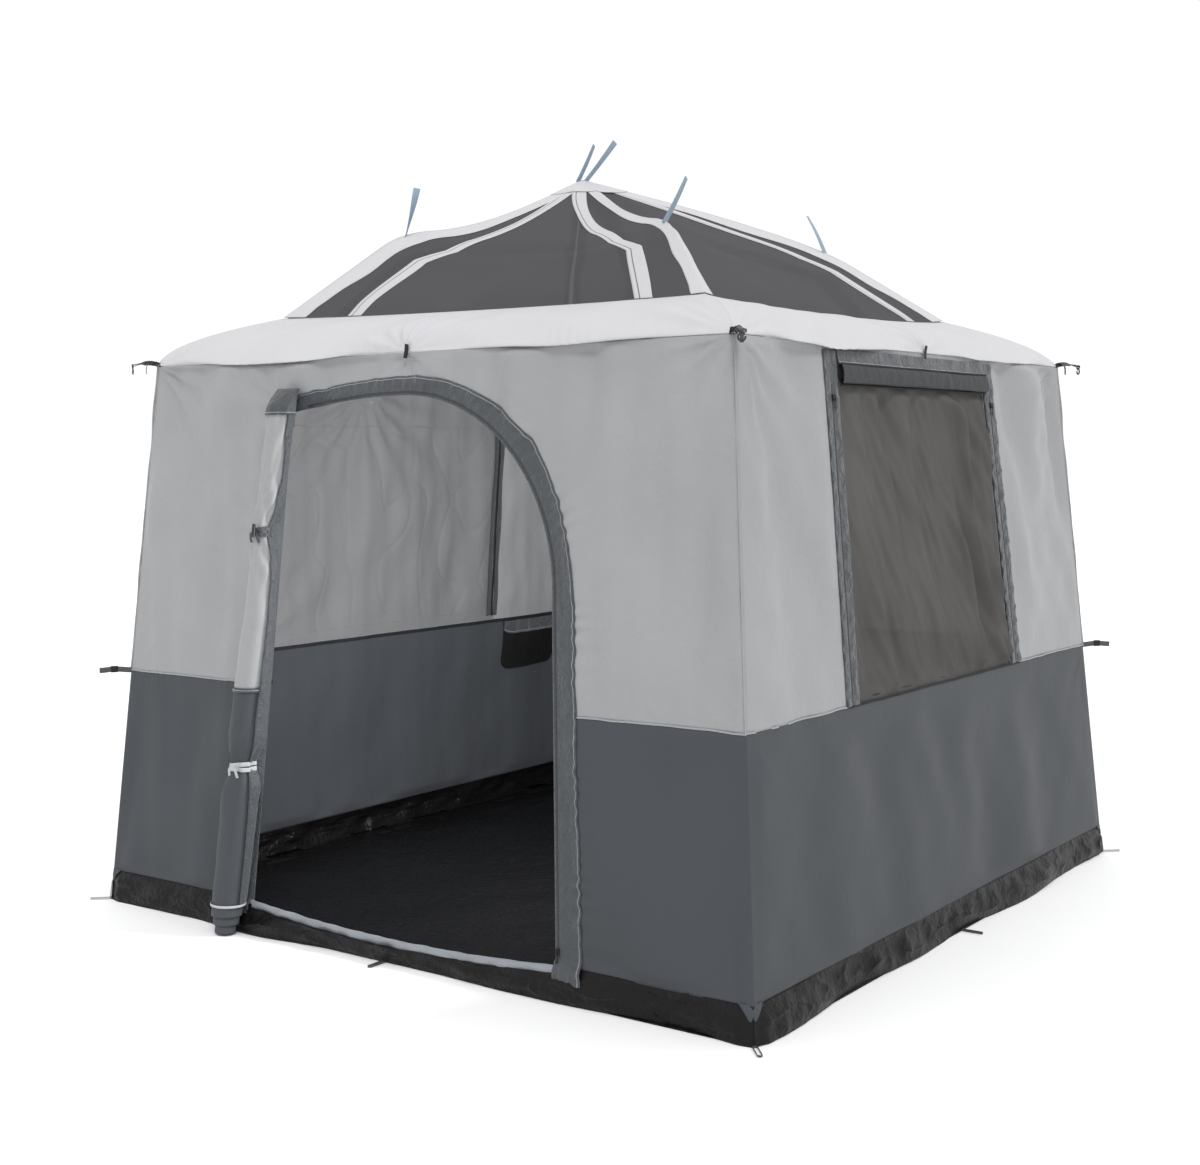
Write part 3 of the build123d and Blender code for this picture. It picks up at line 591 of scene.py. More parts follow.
def door_line(t, foot, left=0.0, top=0.0, right=0.0):
    """Door outline: t is 0-1 up the left jamb, 1-2 to the apex, 2-3 down the arch, 3-4 down the right."""
    s, head = sizes(), arch_height()
    spring = (s.arch_x + s.arch_r + right, head)
    apex = (s.arch_x, head + s.arch_r + top)
    reach = (s.arch_r + (top + right) / 2) * math.sqrt(0.5)
    middle = (s.arch_x + reach, head + reach)
    shoulder = (SHOULDER[0] - left, head + SHOULDER[1] + top * 0.7)
    lift = ((shoulder[0] + apex[0]) / 2, apex[1] - (apex[1] - shoulder[1]) / 4)
    feet = (left_jamb(foot) - left, foot), (right_jamb(foot) + right, foot)
    share = [np.clip(t - i, 0, 1) for i in range(4)]
    parts = [
        (mix(feet[0][0], shoulder[0], share[0]), mix(foot, shoulder[1], share[0])),
        arc(shoulder, lift, apex, share[1]),
        arc(apex, middle, spring, share[2]),
        (mix(spring[0], feet[1][0], share[3]), mix(spring[1], foot, share[3])),
    ]
    where = [t < 1, t < 2, t < 3]
    return tuple(np.select(where, [part[k] for part in parts[:3]], parts[3][k]) for k in (0, 1))


def even_steps(line, count, extra=()):
    """Parameters 0 to 4 that divide an outline into equal lengths, with some places added."""
    t = np.linspace(0, 4, 4001)
    x, z = line(t)
    run = np.concatenate([[0], np.cumsum(np.hypot(np.diff(x), np.diff(z)))])
    return np.unique(np.concatenate([np.interp(np.linspace(0, run[-1], count), run, t), extra]))


def door_place(x, z):
    """Distance of a place outside the door's opening, and the length along the opening's edge."""
    s, head = sizes(), arch_height()
    round_away = np.hypot(x - s.arch_x, z - head) - s.arch_r
    right = np.where(z > head, round_away, x - right_jamb(z))
    right_run = np.where(z > head, head + s.arch_r * np.arctan2(z - head, np.abs(x - s.arch_x)), z)
    left = np.maximum(left_jamb(z) - x, np.where(z > head, np.minimum(round_away, 1.0), -1.0))
    return np.where(x > s.arch_x, right, left), np.where(x > s.arch_x, right_run, -z)


def window_rear(z, inset=0.0):
    """Rear edge of the right wall's window at a height, moved in by an inset."""
    return mix(WINDOW_HEAD_REAR, WINDOW_FOOT, (WINDOW_TOP - z) / (WINDOW_TOP - SEAM_H)) - inset


# ---------------------------------------------------------------- folds of the walls


# Folds of the walls: height, length or reach, in metres
BROAD_H, BROAD_L = 0.0110, 0.50
FINE_H, FINE_UPPER_H, FINE_L = 0.0018, 0.0026, 0.17
EAVE_FAN_H, EAVE_FAN_REACH = 0.013, 0.24
SEAM_FAN_H, SEAM_FAN_REACH = 0.0050, 0.15
TAB_FAN_H, TAB_FAN_REACH = 0.0070, 0.12
PUCKER_H, PUCKER_L = 0.0034, 0.040
PUCKER_REACH = (0.030, 0.055)  # below and above the seam
WINDOW_CALM = 0.22  # share of the folds left inside the window's frame
SEAM_CALM = 0.35  # share of the folds left at the seam


def wall_folds(side, x, z):
    """Height of the cloth over its flat wall: broad waves, folds from the eave's corners and middle tab,
    and puckers along the seams. It is nothing at the tent's corners, at the eave and along the zips."""
    seed = 10 * QUARTERS[side]
    fine = FINE_H + FINE_UPPER_H * fade((z - SEAM_H + 0.1) / 0.1)
    total = BROAD_H * waves(x, 0.5 * z, BROAD_L, seed) + fine * waves(x, 0.5 * z, FINE_L, seed + 1)
    for sign in (-1, 1):
        corner = (sign * EAVE / 2, EAVE_H)
        total = total + EAVE_FAN_H * fan(x, z, corner, 15, EAVE_FAN_REACH, seed + sign)
        corner = (sign * half_width(SEAM_H), SEAM_H)
        total = total + SEAM_FAN_H * fan(x, z, corner, 9, SEAM_FAN_REACH, seed + sign)
    total = total + TAB_FAN_H * fan(x, z, (0.0, EAVE_H), 11, TAB_FAN_REACH, seed)
    reach = np.where(z > SEAM_H, PUCKER_REACH[1], PUCKER_REACH[0])
    total = total + PUCKER_H * puckers(x, (z - SEAM_H) / reach * PUCKER_L, PUCKER_L, PUCKER_L, seed + 2)
    total = total + OWN_FOLDS[side](x, z)
    if side == "right":
        away = np.maximum(window_away(x, z), SEAM_H - z)
        total = total * mix(WINDOW_CALM, 1.0, fade((away + 0.01) / 0.16)) * mix(1.0, 0.6, z < SEAM_H)
    total = total * fade((half_width(z) - np.abs(x)) / 0.07)
    total = total * fade((EAVE_H - z) / 0.03) * fade((z - TUB_H + 0.01) / 0.05)
    total = total * mix(SEAM_CALM, 1.0, fade(np.abs(z - SEAM_H) / 0.15))
    return total * zip_rest(side, x, z) * sizes().fold


def window_away(x, z):
    """Distance of a place outside the sides of the right wall's window."""
    return np.maximum(WINDOW_LEFT - x, x - window_rear(z))


def zips_away(x, z):
    """Distance of a place from the nearer zip of the right wall's window."""
    front = np.abs(x - WINDOW_LEFT - WINDOW_TRIM_W / 2)
    return np.minimum(front, np.abs(x - window_rear(z, WINDOW_TRIM_W / 2)))


def zip_rest(side, x, z):
    """Share of the folds that a zip line leaves: none along it, since the coil and its slider lie flat."""
    above = fade((z - SEAM_H + 0.05) / 0.05)
    if side == "front":
        away, _ = door_place(x, z)
        return fade((np.abs(away - 0.010) - 0.006) / 0.07)
    if side == "right":
        return mix(1.0, fade((zips_away(x, z) - 0.008) / 0.10), above)
    if side == "left":
        inner = np.abs(np.abs(x) - (COVER_HALF - COVER_ZIP_IN))
        return mix(1.0, fade((inner - 0.008) / 0.06), above)
    return 1.0


def front_folds(x, z):
    """Folds of the door wall: puckers beside the trim and folds that the roll's ties pull."""
    away, run = door_place(x, z)
    trim = np.where(x > sizes().arch_x, sizes().trim_right, sizes().trim_left)
    total = 0.0042 * puckers(run, np.maximum(away - trim, 0), 0.048, 0.05, 40) * fade(away / trim)
    for height, pull in ((TIE_HEIGHTS[0], 0.011), (ROLL_TOP_H, 0.008), (0.95, 0.006)):
        total = total + pull * fan(x, z, (left_jamb(height) - 0.06, height), 8, 0.12, height)
    total = total + 0.006 * hump(x + 0.78 + 0.18 * (z - 1.2), 0.05) * hump(z - 1.05, 0.35)
    return total * fade((away - 0.018) / 0.05)


def right_folds(x, z):
    """Folds of the window wall: slanting drapes in the cloth and puckers beside the window trims."""
    above = fade((z - SEAM_H + 0.05) / 0.05)
    total = (0.0020 + 0.0050 * above) * waves(x + 0.22 * z, 0.22 * z, 0.26, 51)
    total = total + 0.0040 * puckers(z, np.maximum(window_away(x, z), 0), 0.050, 0.05, 52) * above
    return total


def left_folds(x, z):
    """Folds of the wall behind the closed window: fans from the head and from the lower rear corner."""
    above = fade((z - SEAM_H + 0.05) / 0.05)
    total = 0.0130 * fan(x, z, (0.15, COVER_HIGH + 0.10), 17, 0.65, 1.0, 0.14)
    total = total + 0.0120 * fan(x, z, (0.72, SEAM_H), 11, 0.30, 2.0, 0.16) * above
    sharp = (0.0012 + 0.0040 * above) * (creases(x, z, 0.30, 61) - 0.3)
    return total + sharp * fade((0.9 - np.abs(x)) / 0.3)


def back_folds(x, z):
    return 0.0045 * waves(x, 0.3 * z, 0.30, 23)


OWN_FOLDS = {"front": front_folds, "right": right_folds, "back": back_folds, "left": left_folds}


def tub_folds(side, x, z):
    """Height of the tub over its flat wall: a soft belly, long creases and a foot that creeps outwards."""
    seed = 70 + QUARTERS[side]
    share = np.clip(z / TUB_H, 0, 1)
    belly = 0.012 * np.sin(math.pi * share) * (1 + 0.5 * waves(x, z, 0.6, seed))
    long_creases = 0.006 * (creases(0.22 * x, z, 0.055, seed + 4) - 0.3)
    long_creases = long_creases + 0.0035 * waves(0.5 * x, z, 0.07, seed + 8)
    long_creases = long_creases * np.sin(math.pi * np.clip(share, 0.04, 0.97))
    foot = (1 - share) * (0.010 + 0.010 * waves(x, 0 * z, 0.7, seed + 12))
    corner = fade((half_width(z) - np.abs(x)) / 0.06)
    return (belly + long_creases + foot) * corner * sizes().fold


def under_trim(side, x, z):
    """How far a wall's cloth lies behind its own folds, so that the trims sewn over it cover it."""
    s = sizes()
    if side == "front":
        away, _ = door_place(x, z)
        edge = np.where(x > s.arch_x, np.where(z > arch_height(), s.trim_top, s.trim_right), s.trim_left)
        return 0.004 * fade((edge - 0.004 - away) / 0.012) * (away > -0.02)
    if side == "right":
        return 0.004 * fade((-window_away(x, z) - 0.004) / 0.012) * (z > SEAM_H - 0.001)
    return 0.0 * x


def on_cloth(side, x, z, out):
    """Points a distance out from the folded cloth of a wall."""
    return on_wall(side, x, z, wall_folds(side, x, z) + out)


def cloth_grid(side, x, z, out=0.0):
    """Grid on a wall with its folds: points, and the place on the cloth as UV."""
    uv = np.stack(np.broadcast_arrays(x, z), -1)
    return on_wall(side, x, z, wall_folds(side, x, z) - under_trim(side, x, z) + out), False, False, uv, False


def declare(width, length, area=None):
    """Says that a piece is a sheet that was cut to a width and a length, or to a smaller area."""
    if area is not None:
        area = min(area, width * length)


def wall_panel(name, side, low, high, left, right, material, nodes, counts=(150, 70)):
    """Wall cloth between two heights and two edges, each a function of the height."""
    z = row(low, high, counts[1])
    u = column(0, 1, counts[0])
    x = mix(left(z), right(z), u)
    obj = piece(name, [cloth_grid(side, x, z)], material, nodes, sizes().cloth)
    flat = on_wall(side, x, z + 0 * x, 0.0)
    declare(float((right(z) - left(z)).max()), high - low, area=grid_area(flat))
    return obj


def ring_panel(name, side, inner, outer, material, nodes, across=44):
    """Wall cloth between an opening's outline and the wall's edge; both are arrays of x and z."""
    v = row(0, 1, across) ** 1.25
    x = mix(inner[0][:, None], outer[0][:, None], v)
    z = mix(inner[1][:, None], outer[1][:, None], v)
    obj = piece(name, [cloth_grid(side, x, z)], material, nodes, sizes().cloth, merge=True)
    declare(2 * half_width(SEAM_H), EAVE_H - SEAM_H, area=grid_area(on_wall(side, x, z, 0.0)))
    return obj


def wall_edge(inner_z, t, first, last):
    """Edge of an upper wall: up its left side to t = first, along the eave, down from t = last."""
    rise = EAVE_H - SEAM_H
    up = SEAM_H + rise * np.clip((inner_z - SEAM_H) / (np.interp(first, t, inner_z) - SEAM_H), 0, 1)
    down = SEAM_H + rise * np.clip((inner_z - SEAM_H) / (np.interp(last, t, inner_z) - SEAM_H), 0, 1)
    z = np.select([t < first, t <= last], [up, EAVE_H + 0 * t], down)
    along = EAVE / 2 * (2 * (t - first) / (last - first) - 1)
    return np.select([t < first, t <= last], [-half_width(z), along], half_width(z)), z


# ---------------------------------------------------------------- build: floor and walls


def build_floor():
    """Floor sheet that lies with low creases, and the four tub walls that stand up from it."""
    u = np.linspace(-1, 1, 130)
    x, y = np.meshgrid(u * FLOOR / 2, u * FLOOR / 2, indexing="ij")
    rim = fade((FLOOR / 2 - np.maximum(np.abs(x), np.abs(y))) / 0.1)
    lift = 0.0035 * (1 + waves(x, y, 0.55, 90))
    lift = lift + 0.007 * creases(x, y, 0.7, 91) + 0.004 * creases(x, 0.5 * y, 0.35, 92)
    z = CLOTH / 2 + rim * np.maximum(lift, 0) * sizes().fold
    points = np.stack([x, y, z], -1)
    floor = piece("floor_cloth", [(points,)], "tub", ["floor_sheet"], 0.0005, (0, 0, -5))
    declare(FLOOR, FLOOR)
    for side in QUARTERS:
        build_tub_wall(side)
    build_tub_corners()


def inward(side):
    """Level direction from a wall to the middle of the tent."""
    return turned(np.array([0.0, 1.0, 0.0]), side)


def sill_line(x, height):
    """Height of the sill's edge: it sags in a shallow curve between the jambs."""
    middle, half = (FOOT_LEFT_X + FOOT_RIGHT_X) / 2, (FOOT_RIGHT_X - FOOT_LEFT_X) / 2
    return height - SILL_SAG * np.clip(1 - ((x - middle) / half) ** 2, 0, None)


HEM_REACH = (0.10, 0.05, 0.0)  # rows of the tub wall's hem under the floor


def build_tub_wall(side):
    """Black tub wall: a strip of cloth with a belly; at the door its top edge hangs under the sill."""
    x = column(-1, 1, 420)
    v = row(0, 1, 26)
    top = TUB_H + 0 * x
    if side == "front":
        wide = half_width(0) * x
        inside = fade((wide - FOOT_LEFT_X + 0.01) / 0.02) * fade((FOOT_RIGHT_X + 0.01 - wide) / 0.02)
        top = mix(top, sill_line(wide, TUB_H - SILL_W) + 0.006, inside)
    z = top * v
    x = x * half_width(z)
    creep = 0.003 * (1 + waves(x, 0 * x, 0.35, 80 + QUARTERS[side])) * (1 - v) ** 2
    points = on_wall(side, x, z, tub_folds(side, x, z) + 0.001)
    points[..., 2] += creep * fade((half_width(z) - np.abs(x)) / 0.06)
    reach = np.array(HEM_REACH)
    hem = np.repeat(points[:, :1], 3, 1) + reach[None, :, None] * inward(side)
    hem[..., 2] = 0.0008
    hem_uv = np.stack([x[:, :1] + 0 * hem[..., 0], 0 * hem[..., 0] + np.array([-0.10, -0.05, -0.005])], -1)
    uv = np.concatenate([hem_uv, np.stack([x, z], -1)], 1)
    grid = (np.concatenate([hem, points], 1), False, False, uv)
    obj = piece(f"tub_{side}_cloth", [grid], "tub", [f"tub_wall_{side}"], sizes().cloth)
    flat = grid_area(on_wall(side, x, z, 0.0)) + HEM_REACH[0] * FLOOR
    declare(FLOOR, TUB_H + HEM_REACH[0], area=flat)


def corner_patches(z, out, reach, soft, columns=25):
    """Grids of cloth folded round the four corners: at heights, out from the walls, reaching along both."""
    t = column(-1, 1, columns)
    half = half_width(z) + out
    rounding = soft * (1 - np.abs(t)) ** 2
    x = half - rounding + np.minimum(t, 0) * reach
    y = -half + rounding + np.maximum(t, 0) * reach
    points = np.stack(np.broadcast_arrays(x, y, z), -1)
    return [(turned(points, side),) for side in QUARTERS]


def build_tub_corners():
    """Smooth patches of coated cloth round the four lower corners."""
    v = row(0, 1, 16)
    z = 0.003 + (TUB_H - 0.008) * v
    out = half_width(TUB_H * v) - half_width(z) + 0.0012 + 0.005 * np.sin(math.pi * v)
    grids = corner_patches(z, out, 0.062 - 0.022 * (1 - v) ** 2, 0.010)
    obj = piece("tub_corner_patches", grids, "tub", thickness=sizes().cloth, slot="tub_cloth")
    declare(4 * 0.12, TUB_H)


def straight(value):
    return lambda z: value + 0 * z


def build_front_wall():
    """Door wall: light cloth round the arch above the seam, slate cloth at both sides below it."""
    line = lambda t: door_line(t, SEAM_H)
    t = even_steps(line, 420, (1.0, 2.5))
    inner = line(t)
    outer = wall_edge(inner[1], t, 1.0, 2.5)
    ring_panel("front_upper_cloth", "front", inner, outer, "light", ["front_wall_upper"], 52)
    for name, left, right in (("left", left_edge, left_jamb), ("right", right_jamb, half_width)):
        wall_panel(f"front_lower_{name}_cloth", "front", TUB_H - 0.004, SEAM_H, left, right, "dark",
                   [f"front_wall_lower_{name}"], (90, 80))


def left_edge(z):
    return -half_width(z)


def lower_wall(side):
    """Slate cloth from the tub to the seam."""
    wall_panel(f"{side}_lower_cloth", side, TUB_H - 0.004, SEAM_H, left_edge, half_width, "dark",
               [f"{side}_wall_lower"], (190, 76) if side == "back" else (230, 80))


def window_line(t):
    """Opening of the right wall's window: up its front edge, along its head, down its rear edge."""
    front = WINDOW_LEFT + WINDOW_TRIM_W
    up = np.clip(t, 0, 1)
    down = np.clip(t - 3, 0, 1)
    rise, fall = mix(SEAM_H, WINDOW_TOP, up), mix(WINDOW_TOP, SEAM_H, down)
    z = np.select([t < 1, t < 3], [rise, WINDOW_TOP + 0 * t], fall)
    head = mix(front, window_rear(WINDOW_TOP, WINDOW_TRIM_W), np.clip((t - 1) / 2, 0, 1))
    return np.select([t < 1, t < 3], [front + 0 * t, head], window_rear(z, WINDOW_TRIM_W)), z


def build_right_wall():
    """Window wall: light cloth round the window, slate cloth below, crinkled trims, net and header."""
    t = even_steps(window_line, 330, (1.0, 3.0))
    inner = window_line(t)
    outer = wall_edge(inner[1], t, 1.0, 3.0)
    ring_panel("right_upper_cloth", "right", inner, outer, "light", ["right_wall_upper"])
    lower_wall("right")
    build_window_net()
    build_window_trims()
    build_window_header()


def window_grid(columns, rows, low, high, inset=0.0):
    """Shares across the window, and places x and z, between two heights."""
    u = column(0, 1, columns)
    z = row(low, high, rows)
    return u, mix(WINDOW_LEFT + inset, window_rear(z, inset), u), z


NET_FOLDS = ((0.66, 0.93, 0.05, 0.036), (0.84, 0.97, 0.10, 0.028), (0.55, 0.78, 0.35, 0.022))


def drape(u, z):
    """Drape of the net: upright waves, and long folds that lean towards the rear foot. A long fold has its
    shares of the width at head and foot, the share of the height where it starts, and its own height."""
    fall = np.clip((WINDOW_TOP - z) / (WINDOW_TOP - SEAM_H), 0, 1)
    total = 0.0120 * waves(u * 1.1 - 0.25 * fall, 0.13 * z, 0.13, 101)
    total = total + 0.0045 * waves(u * 1.1 - 0.4 * fall, 0.1 * z, 0.045, 102)
    for head, foot, start, height in NET_FOLDS:
        total = total + height * hump(u - mix(head, foot, fall), 0.022) * fade((fall - start) / 0.15)
    total = total + 0.004 * fan(u, z, (0.0, WINDOW_TOP), 12, 0.35, 1.0)
    total = total * fade(u / 0.06) * fade((1 - u) / 0.05)
    return total * fade((z - SEAM_H) / 0.05) * fade((HEADER_LOW + 0.01 - z) / 0.06)


def build_window_net():
    u, x, z = window_grid(200, 170, SEAM_H, WINDOW_TOP, WINDOW_TRIM_W - 0.01)
    follow = mix(1.0, 0.4, fade((z - SEAM_H) / 0.1))
    behind = 0.006 + 0.006 * fade((z - HEADER_LOW + 0.03) / 0.03)
    out = wall_folds("right", x, z) * follow + drape(u, z) - behind
    uv = np.stack(np.broadcast_arrays(x, z), -1)
    grid = (on_wall("right", x, z, out), False, False, uv)
    obj = piece("right_window_mesh", [grid], "window_net", ["right_window_net"])
    u, x, z = window_grid(2, 170, SEAM_H, WINDOW_TOP, WINDOW_TRIM_W - 0.01)
    flat = on_wall("right", x, z + 0 * x, 0.0)
    declare(float((x[-1] - x[0]).max()), WINDOW_TOP - SEAM_H, area=grid_area(flat))


def build_window_trims():
    """Two upright strips of crinkled cloth; the crinkles leave the zip line flat."""
    grids = []
    for side in ("front", "rear"):
        v = column(0, 1, 22)
        z = row(SEAM_H, WINDOW_TOP, 300)
        start = WINDOW_LEFT + 0 * z if side == "front" else window_rear(z, WINDOW_TRIM_W)
        x = start + WINDOW_TRIM_W * v + 0.0006 * waves(z, 0 * z, 0.12, 110) * (2 * v - 1) ** 3
        seed = 111 if side == "front" else 115
        crinkle = 0.0015 * (1.3 + waves(0.6 * x, z, 0.055, seed))
        crinkle = crinkle + 0.0026 * creases(x, 0.7 * z, 0.06, seed + 1)
        crinkle = np.maximum(crinkle, 0) * fade((np.abs(v - 0.5) * WINDOW_TRIM_W - 0.006) / 0.015)
        crinkle = crinkle * fade((0.5 - np.abs(v - 0.5)) / 0.07 + 0.25)
        uv = np.stack(np.broadcast_arrays(x, z), -1)
        grids.append((on_cloth("right", x, z, TRIM + crinkle), False, False, uv))
    obj = piece("right_window_trim_cloth", grids, "trim", ["right_window_trims"], 0.0012)
    declare(2 * WINDOW_TRIM_W, WINDOW_TOP - SEAM_H)


def build_window_header():
    """Rolled-up cover: one cloth wound in a flat spiral, a dark band over it, piping along both edges."""
    # Low edge of the dark band, which paints the eave's shadow: 33 mm below the top of the rolled cover
    eave_shadow_low = HEADER_HIGH - 0.033
    middle_z, tall, deep = (HEADER_LOW + eave_shadow_low) / 2, (eave_shadow_low - HEADER_LOW) / 2, 0.0125
    turns = 4.3
    a = column(0, 2 * math.pi * turns, 130)
    u = row(0, 1, 120)
    shrink = 1 - 0.80 * a / a.max()
    ripple = 1 + 0.05 * waves(3 * u, 0.02 * a, 0.12, 120) + 0.02 * waves(9 * u, 0.02 * a, 0.12, 121)
    z = middle_z - tall * shrink * np.cos(a) * (1 + 0.02 * waves(2 * u, 0 * a, 0.5, 122))
    inset = WINDOW_TRIM_W + 0.002
    x = mix(WINDOW_LEFT + inset, window_rear(z, inset), u)
    out = deep + 0.0015 - deep * shrink * np.sin(a) * ripple
    points = on_wall("right", x, z, out)
    uv = np.stack([np.broadcast_to(x, z.shape), np.broadcast_to(a * 0.03, z.shape)], -1)
    roll = piece("right_window_rolled_cover", [(points, False, False, uv)], "header",
                 ["right_window_cover_roll"], 0.0, tuple(on_wall("right", -0.03, middle_z, deep)))
    width = float(window_rear(middle_z, inset) - WINDOW_LEFT - inset)
    declare(width, float(length_along(points, 0)[-1].mean()))
    # Dark band of trim cloth over the roll: painted shadow of the eave on the window head
    v = row(0, 1, 10)
    t = column(0, 1, 140)
    z = mix(eave_shadow_low - 0.004, WINDOW_TOP + 0.006, v)
    x = mix(WINDOW_LEFT + WINDOW_TRIM_W - 0.004, window_rear(z, WINDOW_TRIM_W - 0.004), t)
    out = 0.0045 + 0.010 * (1 - v) ** 2 + 0.0015 * waves(x, z, 0.09, 124)
    grid = (on_wall("right", x, z, out),)
    band = piece("right_window_eave_shadow_band", [grid], "trim", [], 0.001, slot="trim_cloth")
    declare(width, WINDOW_TOP - eave_shadow_low)
    lines = []
    for height, lift in ((eave_shadow_low - 0.002, 0.017), (HEADER_LOW + 0.001, 0.010)):
        x = np.linspace(WINDOW_LEFT + inset, float(window_rear(height, inset)), 120)
        path = on_wall("right", x, height + 0.001 * waves(x, 0 * x, 0.4, 125), lift + 0 * x)
        lines.append(ribbon(path, (0, 0, 1), 0.006, 0.004))
    piece("right_window_piping", lines, "binding", slot="binding_tape")


def ring_square(low, high, half, count):
    """Closed rectangular outline, anticlockwise from its lower left corner, with evenly shared sides."""
    t = np.arange(4 * count) / count
    side, f = t.astype(int), t % 1
    x = np.select([side == 0, side == 1, side == 2], [mix(-1, 1, f), 1 + 0 * f, mix(1, -1, f)], -1 + 0 * f)
    v = np.select([side == 0, side == 1, side == 2], [0 * f, f, 1 + 0 * f], 1 - f)
    z = mix(low, high, v)
    return x * half(z), z


def build_left_wall():
    """Wall with the closed window: cloth round the net, the cover outside, zip tapes and pocket inside."""
    inner = ring_square(NET_LOW, NET_HIGH, straight(NET_HALF), 110)
    outer = ring_square(SEAM_H, EAVE_H, half_width, 110)
    v = row(0, 1, 30)
    x, z = (mix(a[:, None], b[:, None], v) for a, b in zip(inner, outer))
    flat = on_wall("left", x, z, 0.0)
    uv = wrapped(np.stack([x, z], -1), True, False)
    grid = (on_wall("left", x, z, wall_folds("left", x, z)), True, False, uv)
    wall = piece("left_upper_cloth", [grid], "light", ["left_wall_upper"], sizes().cloth)
    declare(2 * half_width(SEAM_H), EAVE_H - SEAM_H, area=grid_area(wrapped(flat, True, False)))
    lower_wall("left")
    cover = ("cover_cloth", COVER_HALF, COVER_LOW, COVER_HIGH, CLOTH, "light", "cover", 0.0008)
    net = ("mesh", COVER_HALF - 0.012, SEAM_H + 0.016, EAVE_H - 0.03, -0.004, "inner_net", "net", 0.0)
    for name, half, low, high, out, finish, node, skin in (cover, net):
        x = column(-half, half, 190)
        z = row(low, high, 130)
        grid = cloth_grid("left", x, z, out)
        obj = piece(f"left_window_{name}", [grid], finish, [f"left_window_{node}"], skin)
        declare(2 * half, high - low)
    build_zip_tapes()
    build_pocket()


def build_zip_tapes():
    """Pairs of grey tapes inside the closed window, with the black zip between them."""
    tapes, zips = [], []
    z = np.linspace(COVER_LOW + 0.02, COVER_HIGH - 0.03, 160)
    for middle in (-(COVER_HALF - COVER_ZIP_IN), COVER_HALF - COVER_ZIP_IN):
        pair = (-0.022, 0.026, 0.006, tapes), (0.022, 0.026, 0.006, tapes)
        for shift, width, lift, to in (*pair, (0.0, 0.012, 0.007, zips)):
            x = middle + shift + 0.002 * waves(z, 0 * z, 0.3, 130 + int(shift * 1000))
            path = on_cloth("left", x, z, -lift)
            to.append(ribbon(path, (0, 1, 0), width, 0.0015))
    piece("left_window_zip_tapes", tapes, "trim", slot="trim_cloth")
    piece("left_window_inner_zips", zips, "binding", slot="zip_coil")


def build_pocket():
    """Mesh pocket that bellies from the wall, its lower corners rounded, with a bound mouth."""
    u = column(-1, 1, 61)
    v = row(0, 1, 31)
    half, middle = (POCKET_FAR - POCKET_NEAR) / 2, (POCKET_FAR + POCKET_NEAR) / 2
    corner = 0.06
    share = ((np.abs(u) * half - half + corner) / corner).clip(0, 1)
    tuck = corner * (1 - np.sqrt(1 - share**2))
    z = mix(POCKET_LOW + tuck, POCKET_HIGH, v)
    x = -(middle + half * u)
    belly = np.sqrt(np.clip(1 - np.abs(u) ** 6, 0, 1)) * np.sin(math.pi * np.clip(0.08 + 0.62 * v, 0, 1))
    out = wall_folds("left", x, z) - 0.005 - 0.020 * belly - 0.002 * waves(x, 0.3 * z, 0.08, 140) * belly
    uv = np.stack(np.broadcast_arrays(x, z), -1)
    grid = (on_wall("left", x, z, out), False, False, uv)
    bag = piece("pocket_mesh", [grid], "pocket_net", ["wall_pocket"])
    declare(2 * half, POCKET_HIGH - POCKET_LOW, area=2 * half * (POCKET_HIGH - POCKET_LOW) * 0.97)
    rows = -9  # the header covers the mesh's upper nine rows
    z = z[:, rows:] + 0.001
    header = on_wall("left", np.broadcast_to(x, z.shape), z, out[:, rows:] - 0.0015)
    strip = piece("pocket_header", [(header,)], "trim", [], 0.0012, slot="trim_cloth")
    declare(2 * half, 0.062)
    edge = on_wall("left", x[:, 0], POCKET_LOW + tuck[:, 0], out[:, 0] - 0.001)
    piece("pocket_binding", [ribbon(edge, (1, 0, 0.2), 0.010, 0.002)], "binding", slot="binding_tape")


def build_back_wall():
    """Plain back wall: light cloth over slate cloth."""
    wall_panel("back_upper_cloth", "back", SEAM_H, EAVE_H, left_edge, half_width, "light",
               ["back_wall_upper"], (190, 76))
    lower_wall("back")


def seam_cord(side, first, last):
    """Low welt along the seam outside, between two shares of the half width."""
    x = np.linspace(first, last, 300) * half_width(SEAM_H)
    z = SEAM_H + 0.0008 * waves(x, 0 * x, 0.10, 150)
    path = on_cloth(side, x, z, 0.0010)
    return ribbon(path, (0, 0, 1), 0.006, 0.0020)


